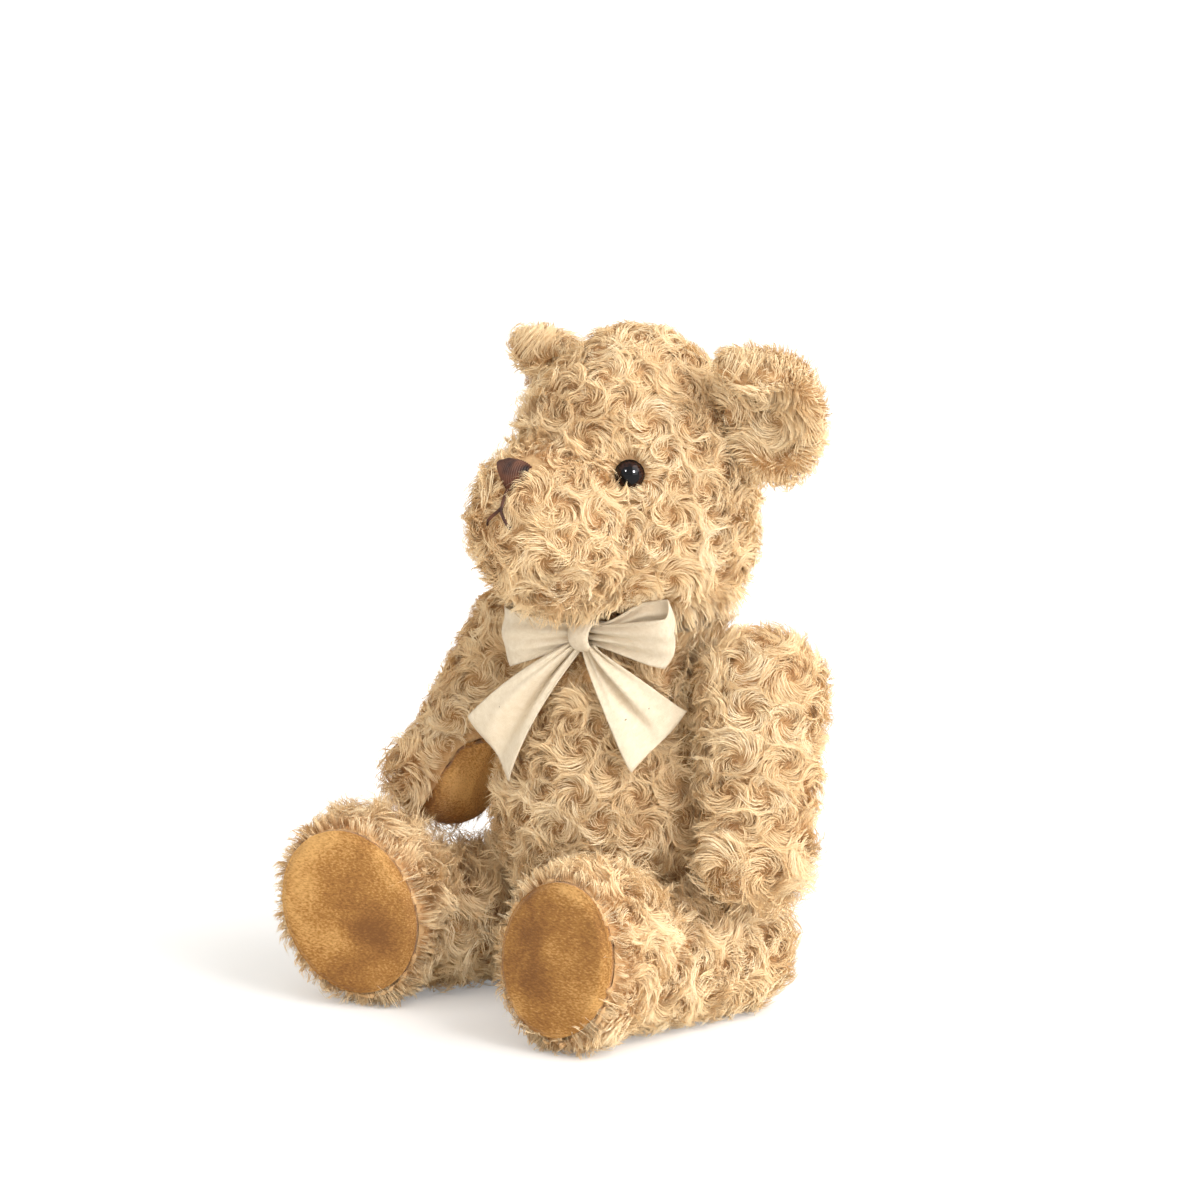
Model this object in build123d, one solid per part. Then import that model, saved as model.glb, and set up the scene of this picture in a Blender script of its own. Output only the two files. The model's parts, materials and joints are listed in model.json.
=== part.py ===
from build123d import *
import math
import os

# A jointed teddy bear, sitting. Millimetres, +Z up. The bear faces -Y and its own left side is +X.
# The origin is on the surface it sits on, under the middle of the body.
# Each limb is built for the left side, and the right one is its mirror image.

# Fur fabric, stuffing and running clearances
plush = 5.0  # pile and backing of the fur fabric, the wall of every cover
soft_gap = 0.3  # between soft pieces that lie against each other
cavity_gap = 0.3  # between a hard piece and the stuffing or cloth around it
running_gap = 0.08  # radial, between a turning stem and its washer disc
pad_thickness = 2.0  # suede of the soles and the hands
pad_seam = 0.15  # seam between a suede pad and the fur beside it

# Body: the belly and chest are turned about Z, and the seat is a drum between the hips
belly_bottom_radius = 44.0
belly_bottom_height = 38.0
belly_dome = 15.0  # the rounding under the belly
belly_radius = 56.0
belly_rise = 38.0  # of the widest ring, above the belly's bottom ring
chest_radius = 46.5
chest_rise = 42.0  # above the widest ring
collar_radius = 36.0
collar_rise = 23.0  # above the chest's ring
neck_radius = 28.0
neck_rise = 7.0  # of the neck's foot, above the collar's ring
neck_length = 9.7
seat_radius = 43.0
seat_height = 39.5  # of the drum's axis, less than its radius, which leaves a flat to sit on

# Head: the skull is turned about Z, and the muzzle is a ball on its front
skull_bottom_radius = 29.0
skull_bottom_slope = 0.6  # rise over run, where the jaw leaves the flat underside
jaw_radius = 44.0
jaw_rise = 13.0  # above the flat underside
skull_radius = 48.5
skull_rise = 46.0
skull_height = 113.5
crown_arc = 88.0  # degrees of the dome's curve, which leaves a small flat at the crown
crown_steps = 4
muzzle_radius = 34.0
muzzle_reach = 45.5  # from the neck's axis to the muzzle's centre
muzzle_rise = 40.0
gusset_width = 28.0  # middle strip of the head, from the nose to the nape
gusset_rise = 50.0

# Ears
ear_radius = 27.0
ear_thickness = 15.0
ear_edge = 6.0
ear_out = 64.0
ear_back = 12.0
ear_rise = 87.0
ear_turn = 12.0  # degrees that each ear's face is turned outwards
ear_lean = 8.0  # degrees that each ear's top leans forwards

# Eyes
eye_radius = 6.0
eye_proud = 4.2  # height of the dome
eye_stem_radius = 1.5
eye_stem_length = 13.0
eye_angle = 42.0  # degrees from straight ahead
eye_rise = 62.0
eye_setback = 4.0  # the dome's rim, inside the skull's widest ring
eye_wall_gap = 3.3  # from the skull's widest ring, less the pile, to the washer
eye_washer_radius = 6.0
eye_washer_thickness = 1.2

# Embroidered nose and mouth
nose_width = 23.0
nose_height = 17.0
nose_thickness = 2.0
nose_corner = 3.5
nose_tilt = 44.0  # degrees above straight ahead, seen from the muzzle's centre
thread_width = 1.6
thread_thickness = 1.0
philtrum_length = 8.0
mouth_stroke = 10.0
mouth_droop = 38.0  # degrees below level
thread_gap = 0.1  # between the thread and the fur's surface
thread_lap = 0.4  # thread ends stop this far from each other

# Arms, in a frame on the shoulder: X outwards along the joint's axis, hanging down -Z
shoulder_out = 45.0
shoulder_back = 5.0
shoulder_rise = 9.0  # of the joint, above the chest's ring
shoulder_boss_radius = 18.5  # the body's flat round the joint
shoulder_boss_depth = 16.0
shoulder_tilt = 11.0  # degrees that the joint's axis rises outwards
arm_middle = 21.0  # from the joint's face to the arm's centre line
arm_radius = 26.0
wrist_radius = 22.0
arm_length = 62.0  # from the joint's axis to the centre of the hand
paw_radius = 20.0
paw_forward = 6.0
paw_drop = 64.0
left_arm_swing = 14.0  # degrees forwards from hanging, as the bear sits
right_arm_swing = 35.0
hand_pad_length = 40.0
hand_pad_width = 27.0
hand_pad_forward = 4.0
hand_pad_drop = 62.0

# Legs, in a frame on the hip: X outwards along the joint's axis, reaching forwards along -Y
hip_out = 27.0
hip_rise = 27.0
hip_splay = 4.0  # degrees that each leg points outwards
leg_middle = 23.0
thigh_radius = 27.0
ankle_radius = 23.5
shin_length = 62.0
sole_reach = 106.0  # from the hip's axis to the sole
foot_half_width = 33.0
foot_half_height = 39.0
foot_depth = 50.0  # from the sole back to where the foot ends inside the leg
foot_rings = [(0, 0.09), (0.07, 0.028), (0.28, 0), (0.6, 0.08), (0.84, 0.2), (1, 0.32)]
# Each ring of the foot is (how far behind the sole, how much slimmer), as shares of the foot's depth.
foot_roll = 20.0  # degrees that each foot leans outwards
left_foot_turn = 0.0  # degrees that the sole is turned inwards
right_foot_turn = 26.0
sole_half_width = 27.5
sole_half_height = 34.0

# Disc joints: a disc on a stem inside the limb, a washer disc and a lock washer inside the body
limb_disc_radius = 12.0
neck_disc_radius = 18.0
disc_thickness = 2.5
limb_stem_radius = 3.0
neck_stem_radius = 4.0
lock_radius = 8.0
lock_thickness = 1.5
stem_end = 2.5  # of the stem, past the lock washer

# Ribbon and bow
ribbon_gap = 0.1  # between the neck ribbon and the bow
ribbon_thickness = 1.5
ribbon_height = 7.5
knot_width = 11.0
knot_depth = 11.0
knot_height = 12.5
knot_edge = 3.0
knot_angle = 10.0  # degrees round from straight ahead, towards the bear's left
loop_half_depth = 5.0
loop_rings = [(0, 0.3, 0.5), (0.55, 0.85, 1), (0.9, 1, 0.9), (1, 0.92, 0.5)]
# Each ring of a loop is (how far along it, its height, its depth), as shares of the loop's own sizes.
right_loop_half_height = 12.0
right_loop_out = 29.1  # of the loop's end from the knot's middle, away from the bear's middle
right_loop_forward = 13.5
right_loop_drop = 2.5
left_loop_half_height = 11.0
left_loop_out = 27.9
left_loop_back = 1.5
left_loop_rise = 1.0
tail_thickness = 2.2
tail_top_width = 5.0
tail_top_spread = 4.5  # of each tail's top from the knot's middle
right_tail_corner_out = 38.1  # of the cut end's outer corner from the knot's middle
right_tail_corner_forward = 25.5
right_tail_corner_drop = 34.5
right_tail_tip_out = 19.1
right_tail_tip_forward = 21.5
right_tail_tip_drop = 58.5
left_tail_corner_out = 36.9
left_tail_corner_back = 7.5
left_tail_corner_drop = 26.5
left_tail_tip_out = 28.9
left_tail_tip_forward = 10.5
left_tail_tip_drop = 48.5

# Worked out from the sizes above
belly_height = belly_bottom_height + belly_rise
chest_height = belly_height + chest_rise
collar_height = chest_height + collar_rise
neck_foot_height = collar_height + neck_rise
neck_top_height = neck_foot_height + neck_length
head_bottom_height = neck_top_height + soft_gap
ribbon_radius = neck_radius + soft_gap
eye_seat = skull_radius - eye_setback
muzzle_height = head_bottom_height + muzzle_rise
far = 800.0  # larger than the bear, for cutting planes

os.makedirs("parts", exist_ok=True)


def save(name, shape):
    solids = shape.solids()
    solid = solids[0] if len(solids) == 1 else Compound(children=solids)
    solid.label = name
    export_step(solid, f"parts/{name}.step")


def turned(side):
    """A solid of revolution about Z, from a curve of (radius, height), closed by flats."""
    foot = min(side.vertices(), key=lambda v: v.Y)
    top = max(side.vertices(), key=lambda v: v.Y)
    edges = side + Line((0, foot.Y), (foot.X, foot.Y)) + Line((0, foot.Y), (0, top.Y))
    if top.X > running_gap:
        edges += Line((top.X, top.Y), (0, top.Y))
    return revolve(Plane.XZ * make_face(edges), Axis.Z)


def capsule(bottom_radius, top_radius, length):
    """Two balls on Z with a straight taper between them: one at Z = 0, the other at the length."""
    lean = math.asin((bottom_radius - top_radius) / length)
    bottom_mid, top_mid = (lean - math.pi / 2) / 2, (lean + math.pi / 2) / 2

    def on_bottom(angle):
        return (bottom_radius * math.cos(angle), bottom_radius * math.sin(angle))

    def on_top(angle):
        return (top_radius * math.cos(angle), length + top_radius * math.sin(angle))

    side = ThreePointArc((0, -bottom_radius), on_bottom(bottom_mid), on_bottom(lean))
    side += Line(on_bottom(lean), on_top(lean))
    side += ThreePointArc(on_top(lean), on_top(top_mid), (0, length + top_radius))
    side += Line((0, length + top_radius), (0, -bottom_radius))
    return revolve(Plane.XZ * make_face(side), Axis.Z)


def slab(size, low):
    """Everything beyond the plane x = low in a limb's frame."""
    return Pos(low + size / 2, 0, 0) * Box(size, size, size)


def flipped(shape):
    return mirror(shape, about=Plane.YZ)


def stem_with_disc(disc_radius, stem_radius, length):
    """A disc in the XY plane, its back at Z = 0, with a stem that runs down -Z."""
    disc = Pos(0, 0, disc_thickness / 2) * Cylinder(disc_radius, disc_thickness)
    disc = fillet(disc.edges().filter_by(GeomType.CIRCLE), disc_thickness / 4)
    stem = Pos(0, 0, -length / 2 + disc_thickness / 2) * Cylinder(stem_radius, length + disc_thickness)
    return disc + stem


def washer(outer, inner, thickness):
    return Cylinder(outer, thickness) - Cylinder(inner, 2 * thickness)


def joint_set(disc_radius, stem_radius, wall_gap):
    """One disc joint along Z: the limb's wall starts at Z = 0, and the body's wall is below it."""
    body_face = -wall_gap - plush - cavity_gap
    washer_top = body_face
    lock_top = washer_top - disc_thickness - running_gap
    stem_length = plush + cavity_gap - lock_top + lock_thickness + stem_end
    disc = Pos(0, 0, plush + cavity_gap) * stem_with_disc(disc_radius, stem_radius, stem_length)
    plate = Pos(0, 0, washer_top - disc_thickness / 2) * washer(
        disc_radius, stem_radius + running_gap, disc_thickness
    )
    lock = Pos(0, 0, lock_top - lock_thickness / 2) * washer(lock_radius, stem_radius, lock_thickness)
    shaft = Pos(0, 0, (plush - stem_length) / 2) * Cylinder(stem_radius + cavity_gap, stem_length + plush)
    head_room = Pos(0, 0, plush + cavity_gap + disc_thickness / 2) * Cylinder(
        disc_radius + cavity_gap, disc_thickness + 2 * cavity_gap
    )
    tail_depth = disc_thickness + running_gap + lock_thickness + stem_end + 2 * cavity_gap
    tail_room = Pos(0, 0, washer_top + cavity_gap - tail_depth / 2) * Cylinder(
        disc_radius + cavity_gap, tail_depth
    )
    return {
        "disc": disc,
        "washer": plate,
        "lock": lock,
        "hole": shaft,
        "limb_room": head_room + shaft,
        "body_room": tail_room + shaft,
    }


# Arms -----------------------------------------------------------------------------------------
def shoulder_frame():
    tilt = math.radians(shoulder_tilt)
    return Plane(
        origin=(shoulder_out, shoulder_back, chest_height + shoulder_rise),
        x_dir=(math.cos(tilt), 0, math.sin(tilt)),
        z_dir=(-math.sin(tilt), 0, math.cos(tilt)),
    ).location


def arm_form(inset):
    form = Pos(arm_middle, 0, -arm_length) * capsule(wrist_radius - inset, arm_radius - inset, arm_length)
    form += Pos(arm_middle, -paw_forward, -paw_drop) * Sphere(paw_radius - inset)
    return form & slab(far, soft_gap / 2 + inset)


def hand_pad_prism(grow):
    """An oval bar through the inner side of the hand, square to the joint's axis."""
    oval = Ellipse(hand_pad_width / 2 + grow, hand_pad_length / 2 + grow)
    place = Pos(0, -hand_pad_forward, -hand_pad_drop) * Rot(0, 90, 0) * Rot(0, 0, 90)
    return place * extrude(oval, arm_middle, both=True)


def arm_parts(swing, side):
    joint = joint_set(limb_disc_radius, limb_stem_radius, soft_gap)
    along = Pos(soft_gap / 2, 0, 0) * Rot(0, 90, 0)
    shell = arm_form(0) - arm_form(plush) - along * joint["hole"]
    pad_zone = arm_form(-pad_thickness) - arm_form(pad_thickness)
    pad = (arm_form(0) - arm_form(pad_thickness)) & hand_pad_prism(0)
    shell -= pad_zone & hand_pad_prism(pad_seam)
    outer_half = slab(far, arm_middle)
    inner_half = slab(far, arm_middle - far)
    stuffing = arm_form(plush + soft_gap) - along * joint["limb_room"]
    parts = {
        f"{side}_arm_inner_panel": shell & inner_half,
        f"{side}_arm_outer_panel": shell & outer_half,
        f"{side}_hand_pad": pad,
        f"{side}_arm_stuffing": stuffing,
        f"{side}_shoulder_disc": along * joint["disc"],
        f"{side}_shoulder_lock_washer": along * joint["lock"],
        f"{side}_shoulder_washer_disc": along * joint["washer"],
    }
    place = shoulder_frame() * Rot(-swing, 0, 0)
    return {name: place * shape for name, shape in parts.items()}


# Legs -----------------------------------------------------------------------------------------
def hip_frame():
    splay = math.radians(hip_splay)
    return Plane(
        origin=(hip_out, 0, hip_rise), x_dir=(math.cos(splay), math.sin(splay), 0), z_dir=(0, 0, 1)
    ).location


def foot_frame(turn):
    """On the middle of the sole, with +Y back into the leg and Z towards the toes."""
    roll = math.radians(foot_roll)
    lift = math.hypot(foot_half_height * math.cos(roll), foot_half_width * math.sin(roll))
    return Pos(leg_middle, -sole_reach, lift - hip_rise) * Rot(0, 0, -turn) * Rot(0, foot_roll, 0)


def foot_form(inset, turn):
    rings = []
    for behind_share, slimmer_share in foot_rings:
        shrink = slimmer_share * foot_depth + inset
        ring = Ellipse(foot_half_width - shrink, foot_half_height - shrink)
        behind = inset + behind_share * (foot_depth - inset)
        rings.append(Plane((0, behind, 0), x_dir=(1, 0, 0), z_dir=(0, -1, 0)) * ring)
    return foot_frame(turn) * loft(rings)


def thigh_form(inset):
    tube = capsule(thigh_radius - inset, ankle_radius - inset, shin_length)
    return Pos(leg_middle, 0, 0) * Rot(90, 0, 0) * tube & slab(far, soft_gap / 2 + inset)


def leg_form(inset, turn):
    return thigh_form(inset) + foot_form(inset, turn)


def leg_parts(turn, side):
    joint = joint_set(limb_disc_radius, limb_stem_radius, soft_gap)
    along = Pos(soft_gap / 2, 0, 0) * Rot(0, 90, 0)
    shell = leg_form(0, turn) - leg_form(plush, turn) - along * joint["hole"]
    oval = Ellipse(sole_half_width, sole_half_height)
    hollow = Ellipse(sole_half_width + pad_seam, sole_half_height + pad_seam)
    on_sole = foot_frame(turn) * Rot(90, 0, 0)
    pad = on_sole * extrude(oval, -pad_thickness)
    shell -= on_sole * extrude(hollow, pad_thickness, both=True)
    outer_half = slab(far, leg_middle)
    inner_half = slab(far, leg_middle - far)
    stuffing = leg_form(plush + soft_gap, turn) - along * joint["limb_room"]
    parts = {
        f"{side}_leg_inner_panel": shell & inner_half,
        f"{side}_leg_outer_panel": shell & outer_half,
        f"{side}_sole": pad,
        f"{side}_leg_stuffing": stuffing,
        f"{side}_hip_disc": along * joint["disc"],
        f"{side}_hip_lock_washer": along * joint["lock"],
        f"{side}_hip_washer_disc": along * joint["washer"],
    }
    place = hip_frame()
    return {name: place * shape for name, shape in parts.items()}


# Body -----------------------------------------------------------------------------------------
def both_sides(shape):
    return shape + flipped(shape)


def beyond(frame, inset):
    """What lies past a joint's face, which the body is cut back from."""
    return both_sides(frame * slab(far, -soft_gap / 2 - inset))


def torso_form(inset):
    low, high = belly_bottom_height - belly_dome + inset, neck_foot_height - inset
    side = Spline(
        (belly_bottom_radius - belly_dome - inset, low),
        (belly_bottom_radius - inset, belly_bottom_height),
        (belly_radius - inset, belly_height),
        (chest_radius - inset, chest_height),
        (collar_radius - inset, collar_height - inset),
        (neck_radius - inset, high),
    )
    form = turned(side)
    core_length = neck_top_height - inset - chest_height
    form += Pos(0, 0, chest_height + core_length / 2) * Cylinder(neck_radius - inset, core_length)
    boss = Pos(-shoulder_boss_depth / 2, 0, 0) * Rot(0, 90, 0)
    boss *= Cylinder(shoulder_boss_radius - inset, shoulder_boss_depth)
    form += both_sides(shoulder_frame() * boss)
    drum = Rot(0, 90, 0) * Cylinder(seat_radius - inset, far)
    drum = Pos(0, 0, seat_height) * drum & Pos(0, 0, far / 2 + inset) * Box(far, far, far)
    form += drum - beyond(hip_frame(), inset)
    form -= beyond(shoulder_frame(), inset)
    return form - both_sides(hip_frame() * thigh_form(-soft_gap - inset))


def neck_joint():
    joint = joint_set(neck_disc_radius, neck_stem_radius, soft_gap)
    place = Pos(0, 0, head_bottom_height)
    return {name: place * shape for name, shape in joint.items()}


def limb_cuts(room):
    """The same clearance on every limb joint, seen from the body."""
    joint = joint_set(limb_disc_radius, limb_stem_radius, soft_gap)
    shape = Pos(soft_gap / 2, 0, 0) * Rot(0, 90, 0) * joint[room]
    return both_sides(shoulder_frame() * shape) + both_sides(hip_frame() * shape)


def torso_parts():
    neck = neck_joint()
    shell = torso_form(0) - torso_form(plush) - neck["hole"] - limb_cuts("hole")
    stuffing = torso_form(plush + soft_gap) - neck["body_room"] - limb_cuts("body_room")
    left_half = slab(far, 0)
    return {
        "body_left_panel": shell & left_half,
        "body_right_panel": shell & flipped(left_half),
        "body_stuffing": stuffing,
        "neck_disc": neck["disc"],
        "neck_washer_disc": neck["washer"],
        "neck_lock_washer": neck["lock"],
    }


# Head -----------------------------------------------------------------------------------------
def skull_form(inset):
    middle = head_bottom_height + skull_rise
    jaw = Spline(
        (skull_bottom_radius - inset, head_bottom_height + inset),
        (jaw_radius - inset, head_bottom_height + jaw_rise + inset),
        (skull_radius - inset, middle),
        tangents=[(1, skull_bottom_slope), (0, 1)],
    )
    wide, tall = skull_radius - inset, skull_height - skull_rise - inset
    angles = [math.radians(crown_arc * step / crown_steps) for step in range(crown_steps + 1)]
    points = [(wide * math.cos(angle), middle + tall * math.sin(angle)) for angle in angles]
    dome = Spline(*points, tangents=[(0, 1), (-1, 0)])
    return turned(jaw + dome)


def muzzle_frame():
    return Pos(0, -muzzle_reach, muzzle_height)


def head_form(inset):
    return skull_form(inset) + muzzle_frame() * Sphere(muzzle_radius - inset)


def eye_frame():
    """On the dome's flat back, with +Z out of the face."""
    on_axis = Pos(0, 0, head_bottom_height + eye_rise)
    return on_axis * Rot(0, 0, eye_angle) * Pos(0, -eye_seat, 0) * Rot(90, 0, 0)


def eye_parts():
    ball_radius = (eye_radius**2 + eye_proud**2) / (2 * eye_proud)
    above = Pos(0, 0, far / 2) * Box(far, far, far)
    dome = Pos(0, 0, eye_proud - ball_radius) * Sphere(ball_radius) & above
    stem = Pos(0, 0, -eye_stem_length / 2) * Cylinder(eye_stem_radius, eye_stem_length)
    washer_top = eye_setback - plush - eye_wall_gap
    plate = Pos(0, 0, washer_top - eye_washer_thickness / 2) * washer(
        eye_washer_radius, eye_stem_radius, eye_washer_thickness
    )
    socket = Pos(0, 0, eye_radius - cavity_gap) * Cylinder(eye_radius + cavity_gap, 2 * eye_radius)
    depth = eye_stem_length + cavity_gap
    hole = Pos(0, 0, -depth / 2) * Cylinder(eye_stem_radius + cavity_gap, depth)
    room = Pos(0, 0, -depth / 2) * Cylinder(eye_washer_radius + cavity_gap, depth)
    return {
        "eye": eye_frame() * (dome + stem),
        "washer": eye_frame() * plate,
        "socket": eye_frame() * (socket + hole),
        "room": eye_frame() * room,
    }


def face_frame():
    """At the muzzle's centre, with +Z out through the nose and +Y up over it."""
    tilt = math.radians(nose_tilt)
    z_dir = (0, -math.cos(tilt), math.sin(tilt))
    return Plane(origin=(0, -muzzle_reach, muzzle_height), x_dir=(1, 0, 0), z_dir=z_dir).location


def embroidered(outline, thickness):
    """A raised layer of thread on the muzzle, with this outline as seen along the nose."""
    skin = Sphere(muzzle_radius + thread_gap + thickness) - Sphere(muzzle_radius + thread_gap)
    return face_frame() * (skin & extrude(outline, muzzle_radius + 2 * thickness))


def nose_and_mouth():
    half, tall = nose_width / 2, nose_height
    triangle = make_face(Polyline((-half, tall / 2), (half, tall / 2), (0, -tall / 2), close=True))
    nose = fillet(triangle.vertices(), nose_corner)
    chin_end = -tall / 2 - philtrum_length
    line = Pos(0, -tall / 2 - philtrum_length / 2 + thread_lap) * Rectangle(thread_width, philtrum_length)
    strokes = []
    for side in (-1, 1):
        turn = Rot(0, 0, -side * mouth_droop)
        place = Pos(side * thread_width / 2, chin_end - thread_lap) * turn
        strokes.append(place * Pos(side * mouth_stroke / 2, 0) * Rectangle(mouth_stroke, thread_width))
    threads = [embroidered(shape, thread_thickness) for shape in [line] + strokes]
    nose = embroidered(nose, nose_thickness)
    return nose, threads


def ear_parts(side):
    disc = Rot(90, 0, 0) * Cylinder(ear_radius, ear_thickness)
    disc = fillet(disc.edges().filter_by(GeomType.CIRCLE), ear_edge)
    place = Pos(ear_out, ear_back, head_bottom_height + ear_rise) * Rot(ear_lean, 0, ear_turn)
    ear = place * disc - skull_form(-soft_gap)
    front = place * Pos(0, -far / 2, 0) * Box(far, far, far)
    back = place * Pos(0, far / 2, 0) * Box(far, far, far)
    return {f"{side}_ear_front_panel": ear & front, f"{side}_ear_back_panel": ear & back}


def head_parts():
    neck = neck_joint()
    eye = eye_parts()
    shell = head_form(0) - head_form(plush) - both_sides(eye["socket"]) - neck["hole"]
    stuffing = head_form(plush + soft_gap) - both_sides(eye["room"]) - neck["limb_room"]
    top_zone = Pos(0, 0, head_bottom_height + gusset_rise + far / 2)
    left_zone = slab(far, gusset_width / 2)
    left_zone += Pos(gusset_width / 4, 0, head_bottom_height + gusset_rise - far / 2) * Box(
        gusset_width / 2, far, far
    )
    nose, threads = nose_and_mouth()
    parts = {
        "head_gusset": shell & top_zone * Box(gusset_width, far, far),
        "head_left_panel": shell & left_zone,
        "head_right_panel": shell & flipped(left_zone),
        "head_stuffing": stuffing,
        "left_eye": eye["eye"],
        "right_eye": flipped(eye["eye"]),
        "left_eye_washer": eye["washer"],
        "right_eye_washer": flipped(eye["washer"]),
        "nose_stitching": nose,
        "mouth_stitching": Compound(children=[solid for shape in threads for solid in shape.solids()]),
    }
    parts.update(ear_parts("left"))
    parts.update({name.replace("left", "right"): flipped(s) for name, s in ear_parts("left").items()})
    return parts


# Ribbon and bow -------------------------------------------------------------------------------
def plate(points, thickness):
    """A flat sheet through these corners."""
    face = make_face(Polyline(*points, close=True)).face()
    return extrude(face, thickness / 2, dir=face.normal_at(), both=True)


def bow_parts():
    turn = math.radians(knot_angle)
    outer = ribbon_radius + ribbon_thickness
    reach = outer + knot_depth / 2 - soft_gap
    ribbon_middle = neck_foot_height + neck_length / 2
    ring = Cylinder(outer, ribbon_height) - Cylinder(ribbon_radius, far)
    ring = Pos(0, 0, ribbon_middle) * ring
    knot_middle = neck_top_height - knot_height / 2
    centre = Vector(reach * math.sin(turn), -reach * math.cos(turn), knot_middle)
    knot = fillet(Box(knot_width, knot_depth, knot_height).edges(), knot_edge)
    knot = Pos(centre) * Rot(0, 0, knot_angle) * knot
    ribbon_core = Cylinder(outer + ribbon_gap, far)
    muzzle_path = Pos(0, 0, muzzle_height) * Torus(muzzle_reach, muzzle_radius + soft_gap)
    body = torso_form(-soft_gap)
    skull = skull_form(-soft_gap)
    knot = knot - ribbon_core - body

    def clear(shape, neighbours):
        for other in [body, skull, muzzle_path, ribbon_core, knot] + neighbours:
            shape -= other
        return shape

    def loop(reach_out, half_height):
        rings = []
        for share, height, depth in loop_rings:
            ring = Ellipse(half_height * height, loop_half_depth * depth)
            rings.append(Plane(centre + reach_out * share, x_dir=(0, 0, 1), z_dir=reach_out) * ring)
        return clear(loft(rings), [])

    def tail(corner, tip, side):
        top = Vector(side * tail_top_spread, 0, -knot_height / 2)
        across = (corner - tip).normalized() * (tail_top_width / 2)
        corners = [centre + point for point in (top + across, corner, tip, top - across)]
        return clear(plate(corners, tail_thickness), [right_loop, left_loop])

    right_loop = loop(Vector(-right_loop_out, -right_loop_forward, -right_loop_drop), right_loop_half_height)
    left_loop = loop(Vector(left_loop_out, left_loop_back, left_loop_rise), left_loop_half_height)
    right_corner = Vector(-right_tail_corner_out, -right_tail_corner_forward, -right_tail_corner_drop)
    right_tip = Vector(-right_tail_tip_out, -right_tail_tip_forward, -right_tail_tip_drop)
    left_corner = Vector(left_tail_corner_out, left_tail_corner_back, -left_tail_corner_drop)
    left_tip = Vector(left_tail_tip_out, -left_tail_tip_forward, -left_tail_tip_drop)
    return {
        "neck_ribbon": ring,
        "bow_knot": knot,
        "bow_left_loop": left_loop,
        "bow_right_loop": right_loop,
        "bow_left_tail": tail(left_corner, left_tip, 1),
        "bow_right_tail": tail(right_corner, right_tip, -1),
    }


# The bear's own left and right, and the whole -------------------------------------------------
nodes = {}
for parts_of, left_pose, right_pose in (
    (arm_parts, left_arm_swing, right_arm_swing),
    (leg_parts, left_foot_turn, right_foot_turn),
):
    nodes.update(parts_of(left_pose, "left"))
    right = parts_of(right_pose, "right")
    nodes.update({name: flipped(shape) for name, shape in right.items()})
nodes.update(torso_parts())
nodes.update(head_parts())
nodes.update(bow_parts())
for name, shape in nodes.items():
    save(name, shape)
print(len(nodes), "nodes")
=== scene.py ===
"""The looks of a jointed teddy bear in swirled plush, with suede pads and a calico bow."""

import json
import math

import bmesh
import bpy
import numpy as np
from mathutils import Matrix, Vector
from mathutils.bvhtree import BVHTree


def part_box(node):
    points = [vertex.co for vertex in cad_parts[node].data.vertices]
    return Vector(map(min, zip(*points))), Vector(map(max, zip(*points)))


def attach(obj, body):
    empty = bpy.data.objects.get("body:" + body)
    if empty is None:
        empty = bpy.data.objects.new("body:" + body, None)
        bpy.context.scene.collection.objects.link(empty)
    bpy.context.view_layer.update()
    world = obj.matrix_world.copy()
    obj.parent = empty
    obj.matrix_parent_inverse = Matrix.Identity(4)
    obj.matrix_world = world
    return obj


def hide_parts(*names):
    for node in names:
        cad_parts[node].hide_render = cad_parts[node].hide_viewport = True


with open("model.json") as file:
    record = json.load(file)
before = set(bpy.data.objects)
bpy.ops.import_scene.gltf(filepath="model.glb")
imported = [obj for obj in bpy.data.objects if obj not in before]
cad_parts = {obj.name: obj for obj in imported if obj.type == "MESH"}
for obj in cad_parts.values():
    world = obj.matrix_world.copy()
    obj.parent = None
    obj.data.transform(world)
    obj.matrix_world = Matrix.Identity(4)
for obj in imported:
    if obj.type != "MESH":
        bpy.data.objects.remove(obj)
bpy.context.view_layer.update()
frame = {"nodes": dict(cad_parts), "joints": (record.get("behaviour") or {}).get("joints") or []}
nodes = frame["nodes"]
joints = {joint["name"]: joint for joint in frame["joints"]}

mm = 0.001

# Plush: the cloth backing lies under the outline, and the pile stands up to it and a little past
backing_inset = 4.0 * mm
voxel = 1.7 * mm
pile_length = 8.2 * mm
pile_lift = 5.6 * mm  # height of the pile's top over the backing
strand_width = 0.36 * mm
swing_most = 2.4  # radians that a strand turns round its whorl
strands_per_lock = 5
lock_radius = 1.0 * mm
lock_spacing = 1.3 * mm
whorl_spacing = 13.8 * mm
whorl_sizes = (0.75, 1.3)  # the least and the most of a whorl's reach, as a share
whorl_relief = 1.3 * mm
ear_whorl_spacing = 15 * mm
ear_pile_length = 9 * mm
ear_pile_lift = 4.5 * mm
floor_clearance = 0.4 * mm

# Camera: a long lens, a little above the bear and to its left
camera_azimuth = 45.0
camera_elevation = 12.6
camera_distance = 6.0
view_width = 0.48
view_left_shift = 14.0 * mm  # of the view's middle from the bear's own upright axis
view_rise = 155.5 * mm

rng = np.random.default_rng(7)


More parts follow.
